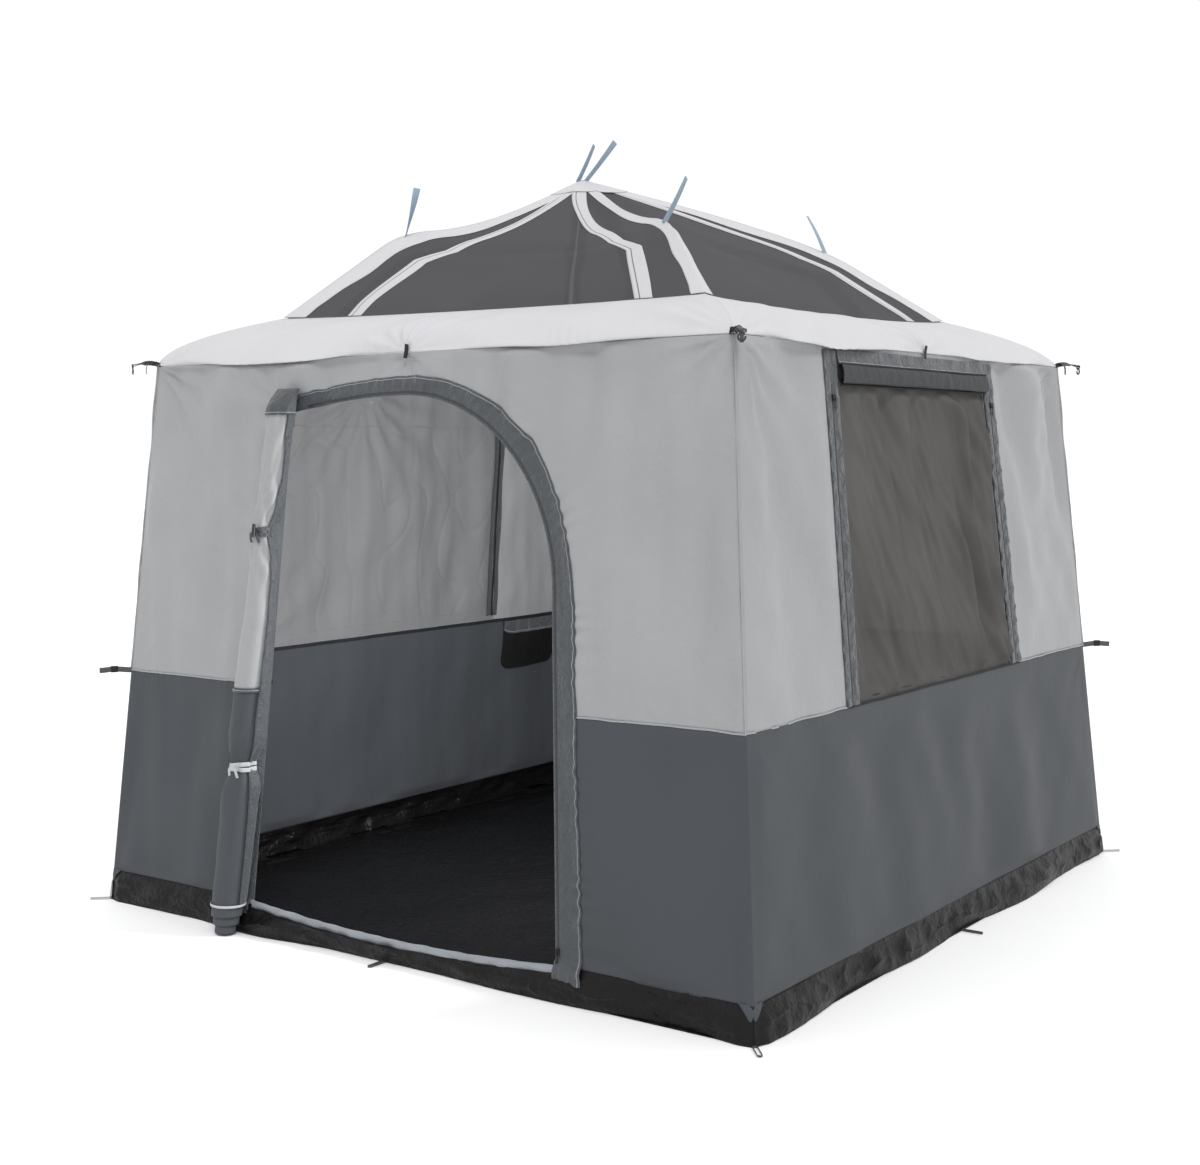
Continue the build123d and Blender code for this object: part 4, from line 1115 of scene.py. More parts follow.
def build_seams():
    """Black binding over the seam inside, and the flat-felled seam line and corner piping outside."""
    tapes = []
    for side in QUARTERS:
        spans = ((-1.0, 1.0),)
        if side == "front":
            half = half_width(SEAM_H)
            spans = ((-1.0, left_jamb(SEAM_H) / half), (right_jamb(SEAM_H) / half, 1.0))
        for first, last in spans:
            x = np.linspace(first, last, 260) * (half_width(SEAM_H) - 0.004)
            z = SEAM_H + 0.008 + 0 * x
            path = on_cloth(side, x, z, -0.0095)
            tapes.append(ribbon(path, (0, 0, 1), 0.014, 0.0015))
    piece("seam_binding_tape", tapes, "binding", ["seam_binding"])
    half = half_width(SEAM_H)
    ends = {"front": (-1.0, (left_jamb(SEAM_H) - 0.05) / half, (right_jamb(SEAM_H) + 0.09) / half, 1.0)}
    ends["right"] = (-1.0, (WINDOW_LEFT + 0.01) / half, (window_rear(SEAM_H) - 0.01) / half, 1.0)
    welts = []
    for side in QUARTERS:
        spans = ends.get(side, (-1.0, 1.0))
        welts += [seam_cord(side, first, last) for first, last in zip(spans[::2], spans[1::2])]
    piece("seam_welts", welts, "light", slot="light_cloth")
    piece("window_foot_seam", [seam_cord("right", *ends["right"][1:3])], "binding", slot="binding_tape")
    cords = []
    z = np.linspace(SEAM_H - 0.004, EAVE_H, 60)
    half = half_width(z) + 0.0005 + 0.0008 * waves(z, 0 * z, 0.2, 151)
    for side in QUARTERS:
        path = turned(np.stack([half, -half, z], -1), side)
        cords.append(ribbon(path, (1, 1, 0), 0.005, 0.005))
    piece("corner_seams", cords, "light", slot="light_cloth")
    build_corner_tongues()


def build_corner_tongues():
    """Pointed ends of slate cloth that run down over the tub at each corner."""
    v = row(0, 1, 12)
    z = TUB_H - 0.045 * (1 - v) + 0.004
    grids = corner_patches(z, 0.0035 + 0.004 * np.sin(math.pi * v), 0.050 * mix(0.30, 1.0, v), 0.006, 17)
    obj = piece("corner_tongues", grids, "dark", thickness=sizes().cloth, slot="dark_cloth")
    declare(4 * 0.10, 0.05, area=4 * 0.066 * 0.05)


# ---------------------------------------------------------------- build: door


def trim_crinkles(run, v, width, seed):
    """Crinkles of a sewn strip: short waves across it, flat where the zip runs near its inner edge."""
    across = v * width
    total = 0.0016 * (1.3 + waves(run, 0.5 * across, 0.060, seed))
    total = total + 0.0030 * creases(0.8 * run, across, 0.07, seed + 1)
    return np.maximum(total, 0) * fade((across - 0.014) / 0.02) * fade((width - across) / 0.006 + 0.25)


def build_door_trim():
    """Crinkled trim round the opening, the zip coil on it and the sill strip between the jambs."""
    s = sizes()
    foot = TUB_H - 0.045
    line = lambda t: door_line(t, foot)
    t = even_steps(line, 620)
    v = row(0, 1, 18)
    inner = line(t)
    flare = 0.014 * hump(inner[1] - foot, 0.05)
    outer = door_line(t, foot, s.trim_left, s.trim_top, s.trim_right)
    ragged = 0.0010 * waves(4 * t, 0 * t, 0.5, 160)
    x = mix(inner[0][:, None], (outer[0] + (ragged + flare) * np.sign(t - 2))[:, None], v)
    z = mix(inner[1][:, None], (outer[1] + ragged * (t < 3))[:, None], v)
    run = np.broadcast_to((4 * t * 0.31)[:, None], x.shape)
    width = np.hypot(outer[0] - inner[0], outer[1] - inner[1])[:, None]
    over_tub = 0.020 * fade((TUB_H + 0.03 - z) / 0.05)
    out = TRIM + trim_crinkles(run, v, width, 161) + over_tub
    uv = np.stack([run, np.broadcast_to((1 - v) * width, x.shape)], -1)
    grid = (on_cloth("front", x, z, out), False, False, uv)
    trim = piece("door_trim_cloth", [grid], "trim", ["door_trim"], 0.0012)
    declare(float(width.mean()), float(length_along(np.stack(line(t), -1), 0)[-1]))
    build_coils()
    x = column(FOOT_LEFT_X - 0.01, FOOT_RIGHT_X + 0.02, 260)
    v = row(0, 1, 12)
    z = sill_line(x, TUB_H - SILL_W) + SILL_W * v
    out = 0.005 + 0.006 * np.sin(math.pi * v) ** 0.7 + 0.0016 * waves(x, 2 * z, 0.09, 165)
    sill = piece("door_sill_cloth", [(on_wall("front", x, z, out),)], "sill", ["door_sill"], 0.0015)
    declare(FOOT_RIGHT_X - FOOT_LEFT_X, SILL_W * 1.15)


def coil(path, across):
    """Zip coil along a path: a half-round strip with teeth every 4 mm, as fine ridges across it."""
    run = length_along(path[:, None], 0)[:, 0]
    teeth = 1 + 0.30 * np.cos(2 * math.pi * run / 0.004)
    turn = np.linspace(0, 2 * math.pi, 9)[:-1]
    outline = np.stack([COIL_W / 2 * np.cos(turn), TAPE / 2 * np.sin(turn)], -1)
    grid = carried(path, np.broadcast_to(np.asarray(across, float), path.shape), outline)
    return path[:, None] + (grid - path[:, None]) * teeth[:, None, None], False, True, None, True


def build_coils():
    step = 0.001
    t = even_steps(lambda t: door_line(t, TUB_H), int(4.9 / step / 1.4))
    inset = 0.010
    x, z = door_line(t, TUB_H, inset, inset, inset)
    ahead = np.stack([np.gradient(x), 0 * x, np.gradient(z)], -1)
    across = np.stack([ahead[:, 2], 0 * x, -ahead[:, 0]], -1)
    path = on_wall("front", x, z, TRIM + TAPE / 2 + 0 * x)
    piece("door_zip_coil", [coil(path, across)], "coil", ["door_zip"])
    coils = []
    z = np.linspace(SEAM_H, HEADER_LOW, int((HEADER_LOW - SEAM_H) / step / 1.4))
    for x in (WINDOW_LEFT + WINDOW_TRIM_W / 2 + 0 * z, window_rear(z, WINDOW_TRIM_W / 2)):
        coils.append(coil(on_wall("right", x, z, TRIM + TAPE / 2 + 0 * x), (0, 1, 0)))
    z = np.linspace(NET_LOW, NET_HIGH, int((NET_HIGH - NET_LOW) / step / 1.4))
    for x in (-(COVER_HALF - COVER_ZIP_IN), COVER_HALF - COVER_ZIP_IN):
        coils.append(coil(on_wall("left", x + 0 * z, z, CLOTH + TAPE / 2 + 0 * z), (0, 1, 0)))
    piece("window_zip_coils", coils, "coil", ["window_zips"])


ROLL_RADIUS = 0.064  # where the roll is fullest
ROLL_SLIM_RADIUS = 0.045  # near the upper tie
ROLL_SHIFTS = (0.022, -0.042)  # of its middle from the left jamb, at the shoulder and at the foot
ROLL_CLEAR = 0.006


def roll_size(z):
    """Radius of the rolled door at a height: slim over the upper tie, fuller down to the seam and below."""
    full = mix(ROLL_RADIUS, ROLL_SLIM_RADIUS, fade((z - 0.80) / 0.72))
    return full - 0.004 * fade((0.5 - z) / 0.4)


def roll_grip(z):
    """Share of the roll's radius that its two ties and its cap leave."""
    return 1 - 0.30 * hump(z - TIE_HEIGHTS[0], 0.062) - 0.36 * hump(z - TIE_HEIGHTS[1], 0.052)


def roll_middle(z):
    """Middle of the roll in plan: it follows the jamb, and leans forward where the toggle pulls it."""
    head = arch_height() + SHOULDER[1]
    share = (head - z) / (head - TUB_H)
    x = left_jamb(z) + mix(ROLL_SHIFTS[0], ROLL_SHIFTS[1], share) - 0.006 * hump(z - TIE_HEIGHTS[0], 0.10)
    y = -half_width(z) - TRIM - ROLL_CLEAR - ROLL_RADIUS
    return x, y - 0.016 * hump(z - TIE_HEIGHTS[0], 0.09)


TIE_WRINKLE_H = 0.105  # height of the wrinkles at the ties, as a share of the roll's radius
FINE_WRINKLE_H = 0.060


def roll_skin(a, z, out=0.0):
    """Point of the outer turn at an angle: a round whose steep winding wrinkles are deepest at the ties."""
    close = hump(z - TIE_HEIGHTS[0], 0.15) + hump(z - TIE_HEIGHTS[1], 0.10) + 0.8 * hump(z - ROLL_TOP_H, 0.30)
    twist = np.cos(5 * a + 3.0 * waves(0 * a, z, 0.35, 170) + 22 * z)
    drift = 2 * waves(0 * a, z, 0.25, 172)
    folds = TIE_WRINKLE_H * close * twist + FINE_WRINKLE_H * close * np.cos(9 * a - 31 * z + drift)
    wave = waves(0.05 * np.cos(a), z + 0.03 * np.sin(a), 0.12, 171)
    folds = folds + 0.040 * np.cos(2 * a - 4 * z) + 0.030 * wave * (0.5 + close)
    r = roll_size(z) * roll_grip(z) * (1 + folds) + out
    x, y = roll_middle(z)
    return np.stack(np.broadcast_arrays(x + r * np.cos(a), y + 0.92 * r * np.sin(a), z), -1)


def build_roll():
    """Rolled door panel: one cloth wound five and a half times, hung from the left jamb, tied twice."""
    turns = 5.5
    a = (math.pi / 2 + np.linspace(0, 2 * math.pi * turns, 190))[:, None]
    share = (a - a[0]) / (a[-1] - a[0])
    for name, low, high, rows, finish, node, width in (
        ("door_roll_light_cloth", SEAM_H, ROLL_TOP_H, 150, "light", "door_roll_upper", 1.16),
        ("door_roll_dark_cloth", ROLL_FOOT_H, SEAM_H, 130, "dark", "door_roll_lower", 1.25),
    ):
        foot = low
        if node == "door_roll_lower":
            step = fade((share - 0.16) / 0.03) + fade((share - 0.34) / 0.03)
            foot = low + 0.060 - 0.030 * step
        z = mix(foot, high, row(0, 1, rows))
        outer = roll_skin(a, z)
        x, y = roll_middle(z)
        middle = np.stack(np.broadcast_arrays(x, y, z), -1)
        wound = middle + (outer - middle) * (1 - 0.80 * share)[..., None]
        hem_z = z[0]
        hinge = np.stack([left_jamb(hem_z) + 0.002, -half_width(hem_z) - 0.003, hem_z], -1)
        tail = hinge + (wound[0] - hinge) * np.linspace(0, 1, 7)[:-1, None, None]
        points = np.concatenate([tail, wound])
        hub = (float(x.mean()), float(y.mean()), (low + high) / 2)
        obj = piece(name, [(points,)], finish, [node], 0.0006, hub)
        declare(width, high - low, area=width * (high - low))
    build_roll_details()


TIE_TAIL = ((0, 0, 0), (0.012, -0.010, -0.006), (0.017, -0.008, -0.022), (0.018, -0.004, -0.036))


def build_roll_details():
    """Dark trim on the roll's inner side, its cap, piping near the foot, the two ties and their knots."""
    # Dark strip down the roll's right side: partly the panel's dark edge trim, partly painted shade of that
    # side
    z = row(0.10, ROLL_TOP_H, 260)
    a = mix(-0.22, 1.25, np.linspace(0, 1, 10))[:, None] + 0.10 * waves(z, 0 * z, 0.5, 180)
    skin = roll_skin(a, z, 0.0022)
    hinge = np.stack([left_jamb(z[0]) + 0.008, -half_width(z[0]) - 0.001, z[0]], -1)
    tail = skin[-1] + (hinge - skin[-1]) * np.linspace(0, 1, 8)[1:, None, None]
    grid = np.concatenate([skin, tail])
    edge = piece("door_roll_trim_and_shade", [(grid,)], "trim", [], 0.001, (-0.55, -1.38, 1.0), slot="trim_cloth")
    declare(float(length_along(grid, 0)[-1].mean()), ROLL_TOP_H - 0.10)
    a = np.linspace(0, 2 * math.pi, 49)[:-1][:, None]
    v = row(-1, 1, 5)
    for height, tall, out, finish in (
        (0.105, 0.009, 0.0030, "piping"),
        (SEAM_H - 0.008, 0.012, 0.0008, "trim"),
    ):
        grid = (roll_skin(a, height + tall / 2 * v, out - 0.001 * v**2), True)
        piece(f"door_roll_{finish}_band", [grid], finish, [], 0.001, (-0.6, -1.42, height), slot="sill_cloth")
    cap_low, cap_high = ROLL_TOP_H - 0.030, ROLL_TOP_H + 0.058
    z = row(cap_low, cap_high, 14)
    x, y = roll_middle(z)
    lean = fade((z - cap_low - 0.02) / 0.10)
    skin = roll_skin(a, np.minimum(z, ROLL_TOP_H), 0.003)
    depth = mix(skin[..., 1], -half_width(z) - 0.008, 0.75 * lean)
    points = np.stack([skin[..., 0] - 0.004 * lean, depth, z + 0 * a], -1)
    cap = piece("door_roll_cap", [(points, True)], "trim", [], 0.001,
                (float(x.mean()), float(y.mean()), ROLL_TOP_H), slot="trim_cloth")
    declare(0.24, cap_high - cap_low)
    straps = {"dark_webbing": [], "piping": []}
    for height, finish in zip(TIE_HEIGHTS, ("dark_webbing", "piping")):
        for tilt, shift in ((0.14, 0.006), (-0.10, -0.007)):
            turn = np.linspace(0, 2 * math.pi, 73)[:-1]
            z = height + shift + tilt * 0.03 * np.cos(turn)
            loop = roll_skin(turn, z, 0.0022)
            straps[finish].append((carried_loop(loop, (0, 0, 1), 0.015), True, True))
        x, y = (float(c) for c in roll_middle(height))
        sewn = [left_jamb(height), -half_width(height) - 0.003, height]
        back = np.array([sewn, [x + 0.01, y + 0.03, height + 0.002]])
        straps[finish].append(ribbon(smooth_path(back, 8), (0, 0, 1), 0.014))
        front = y - float(roll_size(height) * roll_grip(height)) * 0.94
        for sign in (-1, 1):
            axes = (sign, 0, 0), (0, 1, 0), (0, 0, 1)
            tail = placed((x, front, height), axes, TIE_TAIL)
            straps[finish].append(ribbon(smooth_path(tail, 16), (1, 0.3, 0.4 * sign), 0.010))
    piece("door_tie_upper", straps["dark_webbing"], "dark_webbing", ["door_ties"])
    piece("door_tie_lower", straps["piping"], "piping", slot="light_webbing")


def carried_loop(loop, across, width, thickness=WEBBING_T):
    """Closed strip round a closed loop of points."""
    ahead = np.roll(loop, -1, 0) - np.roll(loop, 1, 0)
    ahead /= np.linalg.norm(ahead, axis=1)[:, None]
    across = np.broadcast_to(np.asarray(across, float), loop.shape)
    across = across - (across * ahead).sum(1)[:, None] * ahead
    across /= np.linalg.norm(across, axis=1)[:, None]
    up = np.cross(ahead, across)
    outline = rounded_strip(width, thickness)
    return loop[:, None] + outline[None, :, :1] * across[:, None] + outline[None, :, 1:] * up[:, None]


# ---------------------------------------------------------------- build: roof


def hip_level(hip, level):
    """Point on a hip: on the plan line from the eave corner to the peak, at its rise over the eaves."""
    signs = HIPS[hip][0]
    corner = np.array([signs[0] * EAVE / 2, signs[1] * EAVE / 2, EAVE_H + CLOTH])
    if level == 0:
        return corner
    share, rise = HIPS[hip][level]
    point = mix(corner, PEAK, share)
    point[2] = EAVE_H + rise
    return point


def slack_curve(q):
    """Sag of a loose tape between its ends, about 1 at its lowest, which lies nearer to the first end."""
    return 4.4 * q * (1 - q) ** 1.25


def hip_curve(hip, w):
    """Hip from the band to the peak: straight to a rounded kink, then in a slack curve up to the peak."""
    w = np.asarray(w, float)[..., None]
    band, kink = hip_level(hip, 2), hip_level(hip, 3)
    lower = mix(band, kink, np.clip(w / KINK, 0, 1))
    q = np.clip((w - KINK) / (1 - KINK), 0, 1)
    upper = mix(kink, PEAK, q)
    upper = upper - np.array([0, 0, 1.0]) * HIPS[hip][4] * slack_curve(q)
    first = mix(band, kink, (KINK - KINK_SOFT) / KINK)
    q1 = KINK_SOFT / (1 - KINK)
    last = mix(kink, PEAK, q1) - np.array([0, 0, HIPS[hip][4] * slack_curve(q1)])
    b = np.clip((w - KINK + KINK_SOFT) / (2 * KINK_SOFT), 0, 1)
    bend = (1 - b) ** 2 * first + 2 * b * (1 - b) * kink + b**2 * last
    return np.where(np.abs(w - KINK) < KINK_SOFT, bend, np.where(w < KINK, lower, upper))


def roof(side, u, w):
    """Roof face: straight across from hip to hip at each level, less a sag that is most at the kinks."""
    left, right = (hip_curve(hip, w) for hip in SIDE_HIPS[side])
    points = mix(left, right, np.asarray(u)[..., None])
    q = np.clip((w - KINK) / (1 - KINK), 0, 1)
    taut = sum(HIPS[hip][4] for hip in SIDE_HIPS[side]) / 2 * slack_curve(q)
    points[..., 2] += taut * (1 - np.abs(2 * u - 1) ** 1.5)
    low_slack = mix(BAND_SAG[side], ROOF_SAG[side], fade(w / KINK))
    slack = np.where(w < KINK, low_slack, ROOF_SAG[side] * (1 - w) / (1 - KINK))
    ripple = 0.006 * waves(points[..., 0], points[..., 1], 0.5, 200 + QUARTERS[side])
    ripple = ripple * fade(w / 0.1) * (1 - w)
    points[..., 2] -= (slack + ripple) * (4 * u * (1 - u)) ** 0.75
    return points


def face_width(side, w):
    left, right = (hip_curve(hip, w) for hip in SIDE_HIPS[side])
    return np.linalg.norm(right - left, axis=-1)


LIP_H = 0.034  # how far the band's lower edge puffs out over the eave
LIP_AT = 0.13  # share of the band's height where it puffs most
BAND_H = 0.21  # height of the band, for its folds


def band(side, u, v):
    """White band between the eave and the mesh: a curve through three levels that puffs out over the eave,
    least at the corners and at the middle tab, where folds spread."""
    left, right = SIDE_HIPS[side]
    rows = [mix(hip_level(left, k), hip_level(right, k), np.asarray(u)[..., None]) for k in (0, 1)]
    rows.append(roof(side, u, 0 * u))
    v3 = v[..., None]
    points = 2 * (v3 - 0.5) * (v3 - 1) * rows[0] + 4 * v3 * (1 - v3) * rows[1] + 2 * v3 * (v3 - 0.5) * rows[2]
    seed = 220 + 5 * QUARTERS[side]
    span = np.where(u < 0.5, 1.0, 0.7) * np.sin(2 * math.pi * u) ** 2
    lip = v / LIP_AT * np.exp(1 - v / LIP_AT)
    x, y = (u - 0.5) * EAVE, v * BAND_H
    folds = 0.012 * fan(x, y, (0.0, 0.0), 13, 0.20, 1.0) + 0.006 * waves(0.7 * x, y, 0.22, seed)
    for sign in (-1, 1):
        folds = folds + 0.008 * fan(x, y, (sign * EAVE / 2, 0.0), 14, 0.20, sign)
    folds = folds + 0.0022 * puckers(x, y, 0.045, 0.04, seed + 1)
    folds = folds * np.sin(math.pi * np.clip(v, 0, 1)) ** 0.6
    ends = fade(u / 0.05) * fade((1 - u) / 0.05)
    out = (LIP_H * span * lip + 0.012 * np.sin(math.pi * v) + folds) * ends
    points[..., 2] += (0.6 * folds * ends + 0.006 * np.sin(math.pi * v) - LIP_H * span * lip) * sizes().fold
    normal = turned(np.array([0.0, -1.0, 0.0]), side)
    return points + out[..., None] * normal * sizes().fold


def build_roof():
    """Roof band, mesh faces with their ribs, hip tapes and the cap at the peak."""
    s = sizes()
    for side in QUARTERS:
        u, v = np.meshgrid(np.linspace(0, 1, 360), np.linspace(0, 1, 34), indexing="ij")
        points = band(side, u, v)
        obj = piece(f"roof_band_{side}_cloth", [(points,)], "roof", [f"roof_band_{side}"], s.cloth)
        declare(EAVE, 0.42, area=grid_area(points) * 0.98)
        levels = np.linspace(0, PATCH_START + 0.03, 90)
        u, w = np.meshgrid(np.linspace(0.01, 0.99, 110), levels, indexing="ij")
        points = roof(side, u, w)
        obj = piece(f"roof_mesh_{side}_net", [(points,)], "roof_net", [f"roof_mesh_{side}"])
        declare(float(face_width(side, np.zeros(1))[0]), 1.25, area=grid_area(points) * 0.99)
    build_ribs()
    build_hip_tapes()
    build_peak()


def build_ribs():
    """Grey tapes that follow the mesh from the band to the peak, with one sewn line along them."""
    grids, total = [], 0.0
    for side, rows in RIB_SHARES.items():
        for shares in zip(*rows):
            w = column(0.0, PATCH_START, 120)
            middle = np.interp(w, (0.0, RIB_BEND, 1.0), shares)
            v = row(-0.5, 0.5, 9)
            width = sizes().rib_tape * (1 + 0.05 * waves(w, 0 * w, 0.3, 230))
            points = roof(side, middle + v * width / face_width(side, w), w + 0 * v)
            points[..., 2] += 0.0025
            run = length_along(points, 0)
            uv = np.stack([run, np.broadcast_to((v + 0.5) * width, run.shape)], -1)
            grids.append((points, False, False, uv))
            total += float(run[-1].mean())
    obj = piece("rib_tape_strips", grids, "rib", ["rib_tapes"], 0.0006)
    declare(sizes().rib_tape, total)


def build_hip_tapes():
    """White tapes folded over the hips: half of each lies on either roof face."""
    grids, total = [], 0.0
    for hip in HIPS:
        left_side = next(side for side, hips in SIDE_HIPS.items() if hips[1] == hip)
        right_side = next(side for side, hips in SIDE_HIPS.items() if hips[0] == hip)
        w = column(-0.0, PATCH_START + 0.02, 150)
        d = row(0, 1, 8)
        grow = sizes().hip_tape / 0.070 * (1 + 0.06 * waves(w, 0 * w, 0.25, 240)) * (1 + 0.4 * hump(w, 0.05))
        a = roof(left_side, 1 - (1 - d) * HIP_REACH[hip][0] * grow / face_width(left_side, w), w + 0 * d)
        b = roof(right_side, d * HIP_REACH[hip][1] * grow / face_width(right_side, w), w + 0 * d)
        points = np.concatenate([a, b[:, 1:]], 1)
        points[..., 2] += 0.0045 - 0.0015 * np.abs(np.linspace(-1, 1, points.shape[1]))[None, :] ** 2
        grids.append((points,))
        total += float(length_along(points, 0)[-1].mean())
    obj = piece("hip_tape_cloth", grids, "roof", ["hip_tapes"], 0.001)
    declare(sizes().hip_tape, total)


def build_peak():
    """Small white cap over the peak, closed at its point."""
    loops = []
    w = row(PATCH_START - 0.02, 1.0, 12)
    for side in QUARTERS:
        u = np.linspace(0, 1, 13)[:-1][:, None]
        loops.append(roof(side, u + 0 * w, w + 0 * u))
    points = np.concatenate(loops)
    points[..., 2] += 0.006
    obj = piece("peak_cap", [(points, True)], "roof", ["peak_patch"], 0.001, merge=True)
    area = grid_area(wrapped(points, True, False))
    declare(area**0.5 * 1.05, area**0.5 * 1.05, area=area)


# ---------------------------------------------------------------- build: straps


HANGING = {
    "front_left": ((0.0, 0.0), (0.035, 0.025, 0.170), 2.2, -1.5),
    "front_right": ((0.0, 0.0), (0.054, 0.040, 0.135), 1.50, 0.25),
    "rear_right": ((0.0, 0.0), (-0.054, -0.040, 0.140), 1.45, 0.3),
    "rear_left": ((0.0, 0.0), (-0.034, -0.020, 0.150), 1.2, 0.8),
    "peak_left": ((-0.014, -0.006), (0.048, 0.035, 0.130), 1.60, 0.2),
    "peak_right": ((0.014, 0.008), (0.087, 0.063, 0.140), 1.55, -0.3),
}


def build_hanging_straps():
    """Flat straps for tying the hips and the peak to a frame above: each leans, bows and twists a little."""
    grids = []
    for name, (shift, lean, start, twist) in HANGING.items():
        foot = np.array(PEAK if name.startswith("peak") else hip_curve(name, KINK))
        foot = foot + np.array([*shift, 0.004])
        q = column(-0.06, 1, 40)
        bow = np.array([0.006, -0.004, 0.0]) * np.sin(math.pi * np.clip(q, 0, 1))
        path = foot + np.array(lean) * q + bow
        turn = start + twist * np.clip(q, 0, 1) ** 1.5
        across = np.concatenate([np.cos(turn), np.sin(turn), 0 * turn], 1)
        grids.append(ribbon(path, across, 0.025))
    piece("hanging_strap_webbing", grids, "webbing", ["hanging_straps"])


def corner_axes(hip):
    """Direction out along the diagonal of a corner, and the level direction across it."""
    sx, sy = HIPS[hip][0]
    return np.array([sx, sy, 0]) / math.sqrt(2), np.array([-sy, sx, 0]) / math.sqrt(2)


# Eave strap: distances out, up and across, from the eave's corner or from the eye of the hook
STRAP_START = ((-0.020, -0.003), (0.020, 0.008))
STRAP_END = ((-0.030, 0.007), (-0.008, 0.0036))
STRAP_BACK = ((-0.006, -0.0018), (-0.030, 0.0052), (-0.045, 0.0064))
STRAP_TAIL = ((0.008, 0.006, 0.0), (0.024, 0.014, 0.006), (0.038, -0.004, 0.012), (0.040, -0.032, 0.012))
STRAP_KNOT = ((-0.010, -0.004), (0.004, 0.012), (0.018, 0.001))


def build_eave_straps():
    """Webbing from each eave corner that arches out to the hook's bar, goes round it and is sewn back."""
    grids, tacks = [], []
    for hip in HIPS:
        out, across = corner_axes(hip)
        sx, sy = HIPS[hip][0]
        low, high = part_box(f"eave_clip_{hip}")
        eye = np.array([*((low + high) / 2)[:2], high.z - 0.0018])
        reach = float((eye - np.array([sx * EAVE / 2, sy * EAVE / 2, 0]))[:2] @ out[:2])
        corner = eye - out * reach
        up = np.array([0, 0, 1.0])
        turn = column(math.pi / 2, -math.pi / 2, 9)
        loop = eye + 0.0031 * (out * np.cos(turn) + up * np.sin(turn))
        start, end = placed(corner, (out, up), STRAP_START), placed(eye, (out, up), STRAP_END)
        back = placed(eye, (out, up), STRAP_BACK)
        path = np.concatenate([smooth_path(np.concatenate([start, end]), 30), loop, smooth_path(back, 14)])
        rest = np.clip(np.linalg.norm(eye - path, axis=1)[:, None] / reach, 0, 1)
        grids.append(ribbon(path, across + up * 1.6 * fade((rest - 0.25) / 0.5), 0.0195))
        tail = placed(corner, (out, up, across), STRAP_TAIL)
        grids.append(ribbon(smooth_path(tail, 24), across, 0.012))
        tacks.append(ribbon(smooth_path(placed(corner, (out, up), STRAP_KNOT), 14), across, 0.024, 0.004))
    piece("eave_strap_webbing", grids, "dark_webbing", ["eave_straps"])
    piece("eave_strap_knots", tacks, "binding", slot="dark_webbing")


def build_small_straps():
    """Tabs at the middle of each eave, and straps for the canopy's legs at the seam."""
    tabs = []
    for side in QUARTERS:
        q = np.linspace(-1, 1, 16)
        points = np.stack([0.004 * q, -(EAVE / 2 + 0.006 + 0.002 * q**2), EAVE_H + 0.004 + 0.022 * q], -1)
        across = np.array([0.95, 0.0, -0.25])
        tabs.append(ribbon(turned(points, side), turned(across, side), 0.016, 0.002))
    piece("mid_eave_tab_webbing", tabs, "binding", ["mid_eave_tabs"])
    straps, sleeves = [], []
    for hip in ("front_left", "rear_right", "rear_left"):
        out, across = corner_axes(hip)
        base = np.array([*(np.array(HIPS[hip][0]) * half_width(SEAM_H)), SEAM_H])
        q = column(-0.05, 1, 30)
        path = base + out * 0.113 * q + np.array([0, 0, 0.004]) * np.sin(math.pi * q) ** 2
        straps.append(ribbon(path, (0, 0, 1), 0.020, 0.0018))
        straps.append(ribbon(path[:-6] + across * 0.0022, (0, 0, 1), 0.019, 0.0014))
        sleeves.append(ribbon(path[13:20] + across * 0.001, (0, 0, 1), 0.024, 0.007))
    piece("leg_strap_webbing", straps, "dark_webbing", ["leg_straps"])
    piece("leg_strap_sleeves", sleeves, "binding", slot="dark_webbing")


def loop_path(length, width, count=48):
    """Closed loop of webbing seen from above: two straights joined by half circles, from x = 0."""
    r = width / 2
    turn = np.linspace(-math.pi / 2, math.pi / 2, count // 2)
    far = np.stack([length - r + r * np.cos(turn), r * np.sin(turn)], -1)
    near = np.stack([r - r * np.cos(turn), -r * np.sin(turn)], -1)
    return np.concatenate([far, near])


def build_stake_loops():
    """Webbing loops on edge at the foot of each corner and side, and pale patches over the corner ones."""
    corner, sides, patches = [], [], []
    plan = loop_path(0.0735, 0.014)
    for hip in HIPS:
        out, across = corner_axes(hip)
        base = np.array([*(np.array(HIPS[hip][0]) * FLOOR / 2), 0.0033]) + out * 0.0006
        bow = 0.002 * np.sin(plan[:, :1] * 60)
        loop = base + plan[:, :1] * out + (plan[:, 1:] + bow) * across
        corner.append((carried_loop(loop, (0, 0, 1), 0.006, 0.0016), True, True))
        if hip == "front_right":
            continue
        q = column(0, 1, 12)
        foot = np.array([*(np.array(HIPS[hip][0]) * FLOOR / 2), 0.0]) + out * 0.0035
        strip = foot + np.array([0, 0, 1.0]) * (0.006 + 0.062 * q) - out * 0.009 * q
        patches.append(ribbon(strip, across, 0.014, 0.0022))
    near = corner.pop(1)
    piece("corner_loop_webbing", corner, "piping", ["corner_stake_loops"])
    piece("near_corner_loop", [near], "dark_webbing", slot="dark_webbing")
    piece("corner_loop_patches", patches, "piping", slot="light_webbing")
    for side in QUARTERS:
        base = np.array([0.0, -FLOOR / 2 - 0.0004, 0.0033])
        out, across = np.array([0.0, -1.0, 0.0]), np.array([1.0, 0.0, 0.0])
        loop = turned(base + plan[:, :1] * out + plan[:, 1:] * across, side)
        sides.append((carried_loop(loop, (0, 0, 1), 0.006, 0.0016), True, True))
    piece("side_loop_webbing", sides, "dark_webbing", ["side_stake_loops"])


